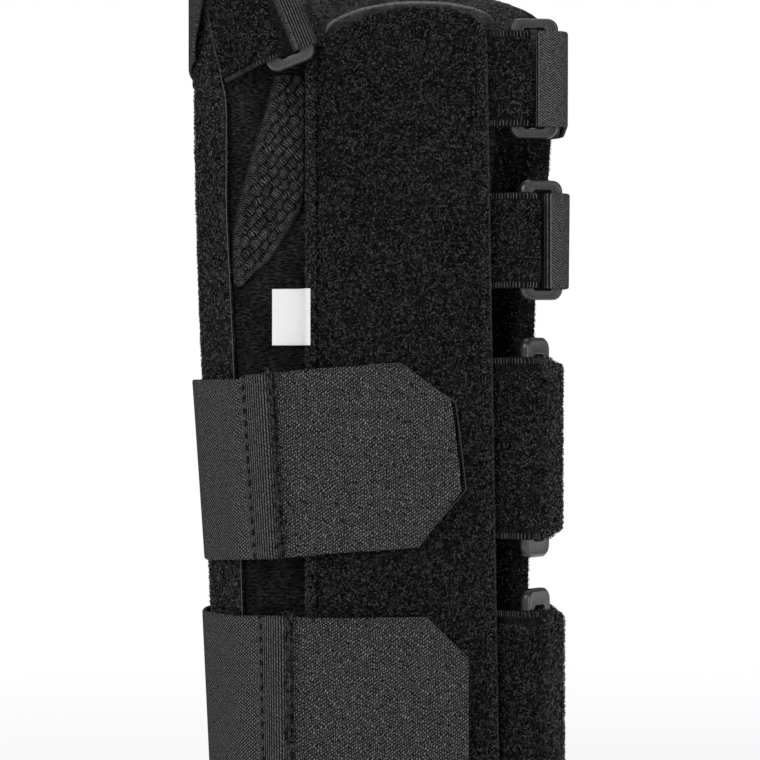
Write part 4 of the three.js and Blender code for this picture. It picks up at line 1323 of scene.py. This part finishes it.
def side_strap_cloth(closure):
    """Strap: sewn to the flap, forward to the ring, over its right bar and back round the outside."""
    spot, thick = ring_frame(closure), closure.thick
    turn, beside = round_bar(thick)
    slot = ring_reach(closure.ring) - beside
    inner = UNDER_STRAP + thick / 2
    outer = inner + thick + GAP
    sine, cosine = np.sin(np.radians(closure.turn)), np.cos(np.radians(closure.turn))
    near = (closure.inner - closure.x + sine * turn) / cosine
    far = (closure.bend - closure.x - sine * turn) / cosine
    fold = spot(slot - closure.lap, turn)
    across = spaced(closure.width, 20, thick / 2)
    z = closure.strap_z + (across - 0.5) * closure.width
    fixed = (
        (spot(near, -turn), 2.2), (spot(slot, -turn), turn * SNUG), (fold, turn * SLACK),
        (spot(far, turn), 2.8),
    )
    corners = skin_run(closure.anchor, FLAP_EDGE, z, inner, 14) + held_corners(fixed, len(z))
    corners += skin_run(FLAP_EDGE, closure.anchor - 2, z, outer, 14) + settling(closure, z, outer)
    paths = resample(with_height(rounded(corners), z), SIDE_STEPS, 3)
    paths[..., 2] = closure.strap_z + (paths[..., 2] - closure.strap_z) * narrowing(closure, paths)
    return strap_cloth(paths, thick, closure.width, across, SIDE_STEPS, fold)


def edge_strands(cloth, begin, end, reach):
    """Overlock strands: short threads over both edges of a strap, from begin to end millimetres along it."""
    run, width = cloth.uv[:, 0, 0], cloth.uv[0, :, 1]
    steps = np.linspace(0, 1, len(STRAND_RISE))
    at = np.arange(begin, end, STRAND_PITCH)[:, None] + STRAND_SLANT * steps
    u = np.interp(at, run, np.arange(len(run)))
    low = np.interp(mix(0.02, reach, steps), width, np.arange(len(width)))
    half = np.full(u.shape, len(width) / 2)
    away = unit(spot_on(cloth.outer, u, half) - spot_on(cloth.inner, u, half))
    rise = away * STRAND_TALL * STRAND_RISE[:, None]
    paths = []
    for v in (low, len(width) - 1 - low):
        v = np.broadcast_to(v, u.shape)
        paths.append(mix(spot_on(cloth.inner, u, v), spot_on(cloth.outer, u, v), STRAND_FACE[:, None]) + rise)
    return np.concatenate(paths)


# Webbing round the thumb side

def seam_x(web, row, share):
    """Place across the front of one stitched row, at a share of the strap's height."""
    return mix(web.rows[row][0], web.rows[row][1], share)


def tip_curves(web, x):
    """Lower edge, upper edge and lift of a strap tip at x, along smooth curves."""
    return (curve(web.outline, column, x) for column in (1, 2, 3))


def quilting(web, x, share):
    """Relief of the webbing over its tip: sunk along the stitched rows and swollen between them."""
    first, second = seam_x(web, 0, share), seam_x(web, 1, share)
    hole = 0.5 + 0.5 * np.sin(2 * np.pi * share * (web.high - web.low) / HOLE_STEP)
    sunk = sum(
        (sink + deep * hole) * np.exp(-((x - at) / reach) ** 2)
        for at, (sink, deep, reach) in zip((first, second), QUILT_ROWS))
    return QUILT_SWELL * np.sin(np.pi * np.clip((x - first) / (second - first), 0, 1)) - sunk


def web_cloth(web):
    """Webbing: round the skin from the back, then over the strap tip, drawn in along two stitched rows."""
    across = spaced(web.high - web.low, 60, WEB_THICK / 2)
    share = across[:, None]
    angle = np.linspace(WEB_BACK, WEB_FRONT, 130)[None]
    lift = mix(web.lift_low, web.lift_high, share) + WEB_OVERLAP * ramp(angle, *WEB_CLIMB)
    round_it = skin(angle, mix(web.low, web.high, share), lift + WEB_THICK / 2)
    x = mix(WEB_TURN, seam_x(web, 1, share) + 1.0, np.linspace(0, 1, 60)[None])
    low, high, lift = tip_curves(web, x)
    over_tip = front(x, mix(low, high, share), lift + OVER_TIP + WEB_THICK / 2 + quilting(web, x, share))
    paths = resample(np.concatenate((round_it, over_tip), 1), WEB_STEPS, 1)
    return strap_cloth(paths, WEB_THICK, web.high - web.low, across, WEB_STEPS, paths[:, -1], -1)


def web_stitches(web):
    """Lock stitches: short sunk threads along both seam rows."""
    tall = web.high - web.low
    start = np.arange(1.0, tall - 2.2, STITCH_PITCH)[:, None]
    share = (start + np.linspace(0, STITCH_LONG, len(STITCH_SINK))) / tall
    paths = []
    for row in (0, 1):
        x = seam_x(web, row, share)
        low, high, lift = tip_curves(web, x)
        paths.append(front(x, mix(low, high, share), lift + OVER_TIP + WEB_THICK + STITCH_SINK))
    return np.concatenate(paths)


def fray_paths(web):
    """Frayed yarn ends: short curls along the second seam row, gathered into a tuft at its top."""
    draw = np.random.default_rng(FRAY_SEED + web.number)
    share = draw.uniform(0.01, 0.99, FRAY_COUNT), draw.normal(*TUFT_PLACE, TUFT_COUNT)
    share = np.concatenate(share)[:, None]
    t = np.linspace(0, 1, 5)
    turn = draw.uniform(0, 2 * np.pi, share.shape)
    run = draw.uniform(*FRAY_RUN, share.shape)
    east, north = (run * (way(turn + 2 * t) - way(turn)) / 2 for way in (np.cos, np.sin))
    x = seam_x(web, 1, share) + draw.normal(*FRAY_PLACE, share.shape) + east
    low, high, lift = tip_curves(web, x)
    lift = lift + OVER_TIP + WEB_THICK + draw.uniform(*FRAY_LIFT, share.shape)
    return front(x, mix(low, high, share) + north, lift)


def tip_cloth(web):
    """Strap tip: a strip between its lower and upper edge lines, clipped at its corners."""
    first, last = web.outline[0, 0], web.outline[-1, 0]
    corners = (web.outline[:, 0] - first) / (last - first)
    along = np.unique(np.concatenate((spaced(60, 90, TIP_THICK / 2), corners)))
    across = spaced(48, 50, TIP_THICK / 2)
    x = mix(first, last, along)[:, None]
    z = mix(*tip_edges(web, x), across)
    middle = front(x, z, curve(web.outline, 3, x) + TIP_THICK / 2)
    return thicken(middle, TIP_THICK, along, across, flat_map(x, z))


def pad_cloth(web):
    """Hook pad: the tip's outline drawn in a little, ending a little past or short of the tip's end."""
    along, across = spaced(34, 40, 0.4), spaced(48, 30, 0.4)
    x = mix(PAD_START, web.outline[-1, 0], along)[:, None]
    low, high = tip_edges(web, x)
    z = mix(low + PAD_INSET, high - PAD_INSET, across)
    x = np.broadcast_to(x + web.pad * ramp(x, *PAD_SPREAD), z.shape)
    return thicken(front(x, z, PAD_LIFT + PAD_THICK / 2), PAD_THICK, along, across, flat_map(x, z))


# Thumb closure

def tilted(p, q, s):
    """Drawing point from the thumb ring's frame: p across the ring, q in depth, s along its long side."""
    p, q, s = np.broadcast_arrays(p, q, s)
    x = THUMB_RING[0] + p * TILT_COSINE - s * TILT_SINE
    z = THUMB_RING[2] + p * TILT_SINE + s * TILT_COSINE
    return np.stack((x, THUMB_RING[1] + q, z), -1)


def on_tilt(reach, s, passes):
    """Points at s in the thumb ring's frame, as p and q; reach gives a point by height, refined in passes."""
    z = np.full(s.shape, THUMB_RING[2])
    for _ in range(passes):
        away = reach(z) - THUMB_RING
        z = THUMB_RING[2] + (s + away[..., 0] * TILT_SINE) / TILT_COSINE
    p = away[..., 0] * TILT_COSINE + (z - THUMB_RING[2]) * TILT_SINE
    return np.stack((p, away[..., 1]), -1)


def thumb_tab_cloth():
    """Thumb tab: from the wrap's front edge over the ring's left bar and back behind it."""
    turn, beside = round_bar(TAB_THICK)
    bar = -ring_reach(SMALL_RING)
    slot = bar + beside
    across = spaced(THUMB_WIDTH, 18, TAB_THICK / 2)
    s = (across - 0.5) * THUMB_WIDTH
    lift = WRAP_IN + 0.4 + TAB_THICK / 2
    start = on_tilt(lambda z: front(curve(WRAP_EDGE, 1, z) + 1.1, z, lift), s, 12)
    fixed = (
        ((bar - 3.0, -turn - 0.1), 4), ((slot, -turn), turn * SNUG), ((slot, turn), turn * SNUG),
        ((bar + 0.3, turn), 0),
    )
    plan = rounded([(start, 0), *held_corners(fixed, len(s))])
    paths = tilted(plan[..., 0], plan[..., 1], s[:, None])
    return strap_cloth(paths, TAB_THICK, THUMB_WIDTH, across, 80, paths[:, 0])


def thumb_climb(angle):
    """Shift of the thumb strap along the ring's long side, by angle round the sleeve."""
    return THUMB_RISE * (1 - ramp(angle, THUMB_END + 6, THUMB_LEAVE))


def thumb_settle(angle):
    """Lift of the thumb strap's outer run: over its sewn end, down onto the wrap, up at its tip."""
    step = mix(THUMB_FLANK, THUMB_OVER, ramp(angle, THUMB_ANCHOR - 8, THUMB_ANCHOR - 2))
    return step + THUMB_TIP_LIFT * (1 - ramp(angle, THUMB_END, THUMB_TIP_FADE))


def thumb_run(angles, lifts, s):
    """Corners of the thumb strap along the skin, one for each angle and lift."""
    corners = []
    for angle, lift in zip(angles, lifts):
        place = on_tilt(lambda z: skin(angle, z, lift), s + thumb_climb(angle), 15)
        corners.append((place, 0))
    return corners


def thumb_strap_cloth():
    """Thumb strap: from the sleeve's back edge round the thumb, over the ring's right bar and back left."""
    turn, beside = round_bar(THUMB_THICK)
    slot = ring_reach(SMALL_RING) - beside
    across = spaced(THUMB_WIDTH, 18, THUMB_THICK / 2)
    s = (across - 0.5) * THUMB_WIDTH
    rise, fall = np.linspace(THUMB_ANCHOR, THUMB_LEAVE, 10), np.linspace(THUMB_LEAVE, THUMB_END, 40)
    fixed = (
        ((THUMB_INNER - 2, THUMB_BACK_IN), 6), ((THUMB_INNER, turn), 2.2), ((slot, turn), turn * SNUG),
        ((slot, -turn), turn * SLACK), ((THUMB_BEND, -turn), 2.4), ((THUMB_BEND - 1.2, THUMB_BACK_OUT), 7.5),
    )
    corners = thumb_run(rise, np.full(rise.shape, THUMB_UNDER), s) + held_corners(fixed, len(s))
    plan = rounded(corners + thumb_run(fall, thumb_settle(fall), s))
    shift, clip = np.zeros(plan.shape[1]), np.ones(plan.shape[1])
    shift[:len(rise)] = thumb_climb(rise)
    shift[-len(fall):] = thumb_climb(fall)
    clip[-THUMB_CLIP_POINTS:] = np.linspace(1, THUMB_CLIP, THUMB_CLIP_POINTS)
    paths = resample(tilted(plan[..., 0], plan[..., 1], s[:, None] * clip + shift), THUMB_STEPS, 0)
    return strap_cloth(paths, THUMB_THICK, THUMB_WIDTH, across, THUMB_STEPS, tilted(slot, -turn, s))


def lint_paths(cloth, count, seed):
    """Specks of lint: short curled hairs lying on the pile."""
    spots, up, aside, draw = scatter(cloth, count, seed, lambda p: ~covered(p))
    t = np.linspace(0, 1, 5)[None, :, None]
    turn = draw.uniform(0, 2 * np.pi, (len(spots), 1))
    first = np.cos(turn) * aside + np.sin(turn) * np.cross(up, aside)
    second = np.cross(up, first)
    run = draw.uniform(*LINT_RUN, (len(spots), 1))[:, None]
    curl = t * first[:, None] + 0.4 * np.sin(3 * t) * second[:, None]
    return spots[:, None] + run * curl + LINT_LIFT * up[:, None]


# Operators

def cut_area(cloth):
    """Flat area of a cloth's middle grid in square metres."""
    middle = middle_of(cloth)
    a, b = middle[1:, 1:] - middle[:-1, :-1], middle[1:, :-1] - middle[:-1, 1:]
    return np.linalg.norm(np.cross(a, b), axis=-1).sum() / 2 * MM * MM


def declare(cloth):
    """Works out a sheet's flat length and width in metres from its middle grid and its cut's area, and leaves
    them unused.
    """
    middle, area = middle_of(cloth), cut_area(cloth)
    tall = run_length(middle[:, middle.shape[1] // 2]).max() * MM
    widest = max(run_length(middle.transpose(1, 0, 2)).max() * MM, area / tall)


class BRACE_OT_stage(bpy.types.Operator):
    """Makes the floor, the soft light and the camera"""

    bl_idname = "brace.stage"
    bl_label = "Stage"

    def execute(self, context):
        mesh = self.floor()
        mesh.materials.append(self.paper(context.scene.brace))
        floor = bpy.data.objects.new("floor", mesh)
        context.scene.collection.objects.link(floor)
        self.light(context)
        self.camera(context)
        return {"FINISHED"}

    def floor(self):
        """Round floor just under the brace, from its middle to far behind the camera."""
        turn, reach = np.linspace(0, 2 * np.pi, FLOOR_SIDES, endpoint=False), FLOOR_RINGS[:, None]
        level = np.full((len(FLOOR_RINGS), FLOOR_SIDES), -FLOOR_DROP)
        points = np.stack((reach * np.cos(turn), reach * np.sin(turn), level), -1).reshape(-1, 3)
        index = np.arange(level.size).reshape(level.shape)
        faces = cells(np.concatenate((index, index[:, :1]), 1))
        mesh = bpy.data.meshes.new("floor")
        mesh.from_pydata(points.tolist(), [], [*faces.tolist(), index[0].tolist()[::-1]])
        return mesh

    def paper(self, settings):
        """Floor paper that runs out into plain white away from the brace."""
        material = bpy.data.materials.new("floor_paper")
        material.use_nodes = True
        material.node_tree.nodes.clear()
        ink = Ink(material.node_tree)
        dim = [FLOOR_DIM * value for value in settings.floor_white]
        base = ink.tint(dim, settings.floor_white, ink.noise(6.0))
        near = ink.node("ShaderNodeBsdfPrincipled", None, {"Base Color": base, "Roughness": 0.9})
        far = ink.node("ShaderNodeEmission", None, {"Color": (1, 1, 1, 1), "Strength": 1.0})
        place = ink.node("ShaderNodeTexCoord", output=3)
        away = ink.node("ShaderNodeVectorMath", {"operation": "LENGTH"}, {0: place}, 1)
        share = FLOOR_GLOW + (1 - FLOOR_GLOW) * away.step(*FLOOR_FADE)
        both = ink.node("ShaderNodeMixShader", None, {0: share, 1: near, 2: far})
        ink.node("ShaderNodeOutputMaterial", None, {"Surface": both})
        return material

    def light(self, context):
        """Dim white surround that the camera sees as plain white, and three large soft lights."""
        world = bpy.data.worlds.new("studio")
        world.use_nodes = True
        sky = Ink(world.node_tree)
        seen = sky.node("ShaderNodeLightPath")
        background = world.node_tree.nodes["Background"]
        background.inputs[0].default_value = (1, 1, 1, 1)
        world.node_tree.links.new((seen * (1 - SURROUND) + SURROUND).out, background.inputs[1])
        context.scene.world = world
        context.scene.view_settings.view_transform = "Standard"
        for name, place, target, size, power in LAMPS:
            lamp = bpy.data.lights.new(name, "AREA")
            lamp.size, lamp.energy = size, power
            holder = bpy.data.objects.new(name, lamp)
            holder.location = place
            holder.rotation_euler = (Vector(target) - Vector(place)).to_track_quat("-Z", "Y").to_euler()
            context.scene.collection.objects.link(holder)

    def camera(self, context):
        """Level camera in front of the panel."""
        lens = bpy.data.cameras.new("camera")
        lens.lens, lens.sensor_width, lens.clip_start = CAMERA_LENS, 36.0, 0.01
        holder = bpy.data.objects.new("camera", lens)
        holder.location = (np.array((0, -CAMERA_AWAY, CAMERA_HEIGHT)) + SHIFT) * MM
        holder.rotation_euler = (np.pi / 2, 0, 0)
        context.scene.collection.objects.link(holder)
        context.scene.camera = holder


class BRACE_OT_sleeve(bpy.types.Operator):
    """Makes the knit liner and the fleece wrap over it, with their fuzz, pile and edges"""

    bl_idname = "brace.sleeve"
    bl_label = "Sleeve"

    def execute(self, context):
        self.liner(context.scene.brace)
        self.wrap(context.scene.brace)
        return {"FINISHED"}

    def liner(self, settings):
        """Knit liner with fuzz where it shows, outside and inside, and its rolled rim."""
        cloth, slot = liner_cloth(), "liner_knit"
        liner = cloth_piece("liner", cloth, knit_look(settings))
        felt = fibre_look(settings, "liner_felt", settings.liner_black)
        fuzz = pile_piece(
            "liner_fuzz", cloth, settings, felt, count=60000, seed=9, size=0.75, keep=window)
        turned = Cloth(cloth.inner, cloth.outer, cloth.uv)
        soft = lining_look(settings)
        lining = pile_piece(
            "liner_inside_fuzz", turned, settings, soft, count=86000, seed=8, size=0.9, keep=lined)
        line, radius = rim_roll()
        roll = thread_piece("liner_rim_roll", line, roll_look(), radius, tone=0.5, sides=12)
        declare(cloth)

    def wrap(self, settings):
        """Fleece wrap with its pile and the thread along its front edge."""
        cloth, slot = wrap_cloth(), "black_fleece"
        wrap = cloth_piece("outer_wrap", cloth, fleece_look(settings))
        fibre = fibre_look(settings, "fleece_fibre", settings.fleece_grey)
        for name, rows, count, seed, size in WRAP_PILES:
            part = Cloth(*(grid[slice(*rows), PILE_COLUMNS] for grid in cloth))
            name = "wrap_pile_" + name
            pile_piece(name, part, settings, fibre, count, seed, size, bare)
        edge = cloth.outer[1, 2:-2] + WRAP_THREAD_SHIFT
        thread = thread_look(settings)
        thread_piece("wrap_edge_thread", edge[None], thread, radius=0.13, tone=0.6)
        declare(cloth)


class BRACE_OT_panel(bpy.types.Operator):
    """Makes the front panel with its pile, ribs and a few specks of lint"""

    bl_idname = "brace.panel"
    bl_label = "Front panel"

    def execute(self, context):
        settings = context.scene.brace
        cloth, slot = panel_cloth(), "loop_pile"
        panel = cloth_piece("front_panel", cloth, ground_look(settings))
        pile, thread = pile_look(settings), thread_look(settings)
        pile_piece("panel_pile", cloth, settings, pile, count=60000, seed=21, keep=piled)
        fibre = fibre_look(settings, "rib_fibre", settings.strap_grey)
        pile_piece(
            "panel_rib_pile", cloth, settings, fibre, count=90000, seed=22, size=0.75, keep=ribbed_edge)
        thread_piece("panel_rib_roll", rib_roll(), thread, radius=0.5, tone=0.24, sides=8)
        lint = strand_look("lint", *LINT_TONES)
        specks = lint_paths(cloth, count=8, seed=5)
        thread_piece("panel_lint", specks, lint, radius=0.05, tone=0.6)
        return {"FINISHED"}


class BRACE_OT_trim(bpy.types.Operator):
    """Makes the gusset, the bare label and the flap's binding"""

    bl_idname = "brace.trim"
    bl_label = "Gusset, label and binding"

    def execute(self, context):
        settings = context.scene.brace
        self.gusset(settings)
        cloth = label_cloth()
        label = cloth_piece("side_label", cloth, label_look(settings))
        declare(cloth)
        self.binding(settings)
        return {"FINISHED"}

    def gusset(self, settings):
        """Mesh gusset with the strands across its edges."""
        cloth, thread = gusset_cloth(), thread_look(settings)
        gusset = cloth_piece("gusset", cloth, mesh_look())
        border = thread_piece("gusset_border", gusset_border(), thread, radius=0.13, tone=0.3)
        declare(cloth)

    def binding(self, settings):
        """Binding with its overlock threads, fuzz and seam."""
        cloth, thread, slot = binding_cloth(), thread_look(settings), "edge_binding"
        binding = cloth_piece("flap_binding", cloth, knit_look(settings))
        over = thread_piece("binding_threads", binding_threads(), thread, radius=0.2, tone=0.06)
        felt = lining_look(settings)
        fuzz = pile_piece(
            "binding_fuzz", cloth, settings, felt, count=5200, seed=12, size=0.8, keep=off_floor)
        seam = thread_piece("binding_seam", binding_seam(), thread, radius=0.14, tone=0.4)
        declare(cloth)


class BRACE_OT_rings(bpy.types.Operator):
    """Makes the five plastic rings"""

    bl_idname = "brace.rings"
    bl_label = "Rings"

    def execute(self, context):
        settings = context.scene.brace
        for closure in CLOSURES:
            ring_piece(f"{closure.kind}_ring_{closure.number}", placed_ring(closure), ring_look(settings))
        # The thumb ring's plastic is painted lighter than the others, a painted highlight for the light that
        # its tilted bar catches
        painted_highlight_plastic = ring_look(settings, "thumb_ring_painted_highlight", THUMB_RING_PAINTED_LIGHT)
        ring_piece("thumb_ring", tilted(*np.moveaxis(ring_points(SMALL_RING), -1, 0)), painted_highlight_plastic)
        return {"FINISHED"}


class BRACE_OT_tabs(bpy.types.Operator):
    """Makes the pile tabs that hold the rings, with their overlocked edges"""

    bl_idname = "brace.tabs"
    bl_label = "Tabs"

    def execute(self, context):
        settings = context.scene.brace
        for k, closure in enumerate(CLOSURES):
            name = f"{closure.kind}_tab_{closure.number}"
            self.tab(settings, name, tab_cloth(closure), TAB_SEED + k, TAB_STRANDS, "front_panel")
        self.tab(settings, "thumb_tab", thumb_tab_cloth(), THUMB_SEED, THUMB_STRANDS, "outer_wrap")
        return {"FINISHED"}

    def tab(self, settings, name, cloth, seed, strand, rests_on):
        """One tab with its pile and edge strands."""
        tab = cloth_piece(name, cloth, ground_look(settings))
        last = np.argmax(cloth.outer[:, cloth.outer.shape[1] // 2, 0]) + 1
        face = Cloth(*(grid[:last, 4:-4] for grid in cloth))
        count = int(cut_area(face) / MM / MM * TAB_FIBRES)
        pile = pile_piece(name + "_pile", face, settings, pile_look(settings), count, seed)
        begin, reach = strand
        paths = edge_strands(cloth, begin, cloth.uv[-1, 0, 0] * STRAND_END, reach)
        tone = np.random.default_rng(seed).uniform(*STRAND_TONES, len(paths))
        thread, radius = thread_look(settings), settings.thread_radius / MM
        over = thread_piece(name + "_strands", paths, thread, radius, tone)
        declare(cloth)


class BRACE_OT_straps(bpy.types.Operator):
    """Makes the narrow webbing straps and the wide pile straps on the free side, and the thumb strap"""

    bl_idname = "brace.straps"
    bl_label = "Straps"

    def execute(self, context):
        settings = context.scene.brace
        herringbone = web_look(settings, "herringbone_webbing", chevrons)
        for closure in CLOSURES:
            cloth = side_strap_cloth(closure)
            if closure.tip:
                self.plain(f"small_strap_{closure.number}", cloth, herringbone)
            else:
                self.wide(settings, closure, cloth)
        self.plain("thumb_strap", thumb_strap_cloth(), web_look(settings, "thumb_webbing", thumb_weave))
        return {"FINISHED"}

    def plain(self, name, cloth, look):
        """One narrow strap of webbing."""
        strap = cloth_piece(name, cloth, look)
        declare(cloth)

    def wide(self, settings, closure, cloth):
        """One wide strap with pile on all but its hidden first rows."""
        name, slot, seed = f"big_loop_strap_{closure.number}", "loop_pile", STRAP_SEED + closure.number
        strap = cloth_piece(name, cloth, strap_look(settings))
        face = Cloth(*(grid[STRAP_PILE_ROW:] for grid in cloth))
        fibre = fibre_look(settings, "strap_fibre", settings.strap_grey)
        pile = pile_piece(name + "_pile", face, settings, fibre, count=18000, seed=seed, size=1.15)
        declare(cloth)


class BRACE_OT_webbing(bpy.types.Operator):
    """Makes the grey webbing round the thumb side with its tips, seams and hook pads"""

    bl_idname = "brace.webbing"
    bl_label = "Grey webbing"

    def execute(self, context):
        settings = context.scene.brace
        basket = web_look(settings, "dashed_webbing", dashes)
        ribbed = web_look(settings, "ribbed_webbing", ribs)
        thread = thread_look(settings)
        for web in WEBS:
            self.strap(web, ribbed, thread)
            self.tip(web, basket, thread)
            self.pad(web, thread)
        return {"FINISHED"}

    def strap(self, web, look, thread):
        """Webbing with its stitches and frayed ends."""
        cloth, slot = web_cloth(web), "grey_webbing"
        strap = cloth_piece(f"big_web_strap_{web.number}", cloth, look)
        name = f"web_stitches_{web.number}"
        seam = thread_piece(name, web_stitches(web), thread, radius=0.24, tone=0.25)
        paths = fray_paths(web)
        tone = np.random.default_rng(FRAY_TONE_SEED + web.number).uniform(*FRAY_TONES, len(paths))
        fray = thread_piece(f"web_fray_{web.number}", paths, thread, radius=0.12, tone=tone)
        declare(cloth)

    def tip(self, web, look, thread):
        """Strap tip with the thread round its clipped end."""
        cloth, slot = tip_cloth(web), "grey_webbing"
        tip = cloth_piece(f"strap_tip_{web.number}", cloth, look)
        path = self.edge(cloth, TIP_EDGE_ROW)
        edge = thread_piece(f"strap_tip_edge_{web.number}", path, thread, radius=0.12, tone=0.5)
        declare(cloth)

    def pad(self, web, thread):
        """Hook pad with the thread round its end."""
        cloth, slot = pad_cloth(web), "hook_tape"
        pad = cloth_piece(f"hook_pad_{web.number}", cloth, hook_look())
        path = self.edge(cloth, PAD_EDGE_ROW) + PAD_EDGE_SHIFT
        edge = thread_piece(f"hook_pad_edge_{web.number}", path, thread, radius=0.15, tone=0.5)
        declare(cloth)

    def edge(self, cloth, first):
        """Path along a cloth's outline from one row, round its far end and back to that row."""
        middle = middle_of(cloth)
        path = np.concatenate((middle[first:-1, 0], middle[-1], middle[-2:first:-1, -1]))
        return path[None] + EDGE_SHIFT


OPERATORS = (
    BRACE_OT_stage, BRACE_OT_sleeve, BRACE_OT_panel, BRACE_OT_trim, BRACE_OT_rings, BRACE_OT_tabs,
    BRACE_OT_straps, BRACE_OT_webbing,
)


class BRACE_PT_panel(bpy.types.Panel):
    """Lists the brace's settings and the steps that build it"""

    bl_idname = "BRACE_PT_panel"
    bl_label = "Wrist thumb brace"
    bl_space_type = "VIEW_3D"
    bl_region_type = "UI"
    bl_category = "Brace"

    def draw(self, context):
        settings = context.scene.brace
        for name in BraceSettings.__annotations__:
            self.layout.prop(settings, name)
        for operator in OPERATORS:
            self.layout.operator(operator.bl_idname)


CLASSES = (BraceSettings, *OPERATORS, BRACE_PT_panel)


def register():
    for item in CLASSES:
        bpy.utils.register_class(item)
    bpy.types.Scene.brace = PointerProperty(type=BraceSettings)


def unregister():
    del bpy.types.Scene.brace
    for item in reversed(CLASSES):
        bpy.utils.unregister_class(item)


def main():
    register()
    bpy.ops.brace.stage()
    bpy.ops.brace.sleeve()
    bpy.ops.brace.panel()
    bpy.ops.brace.trim()
    bpy.ops.brace.rings()
    bpy.ops.brace.tabs()
    bpy.ops.brace.straps()
    bpy.ops.brace.webbing()


if __name__ == "__main__":
    main()
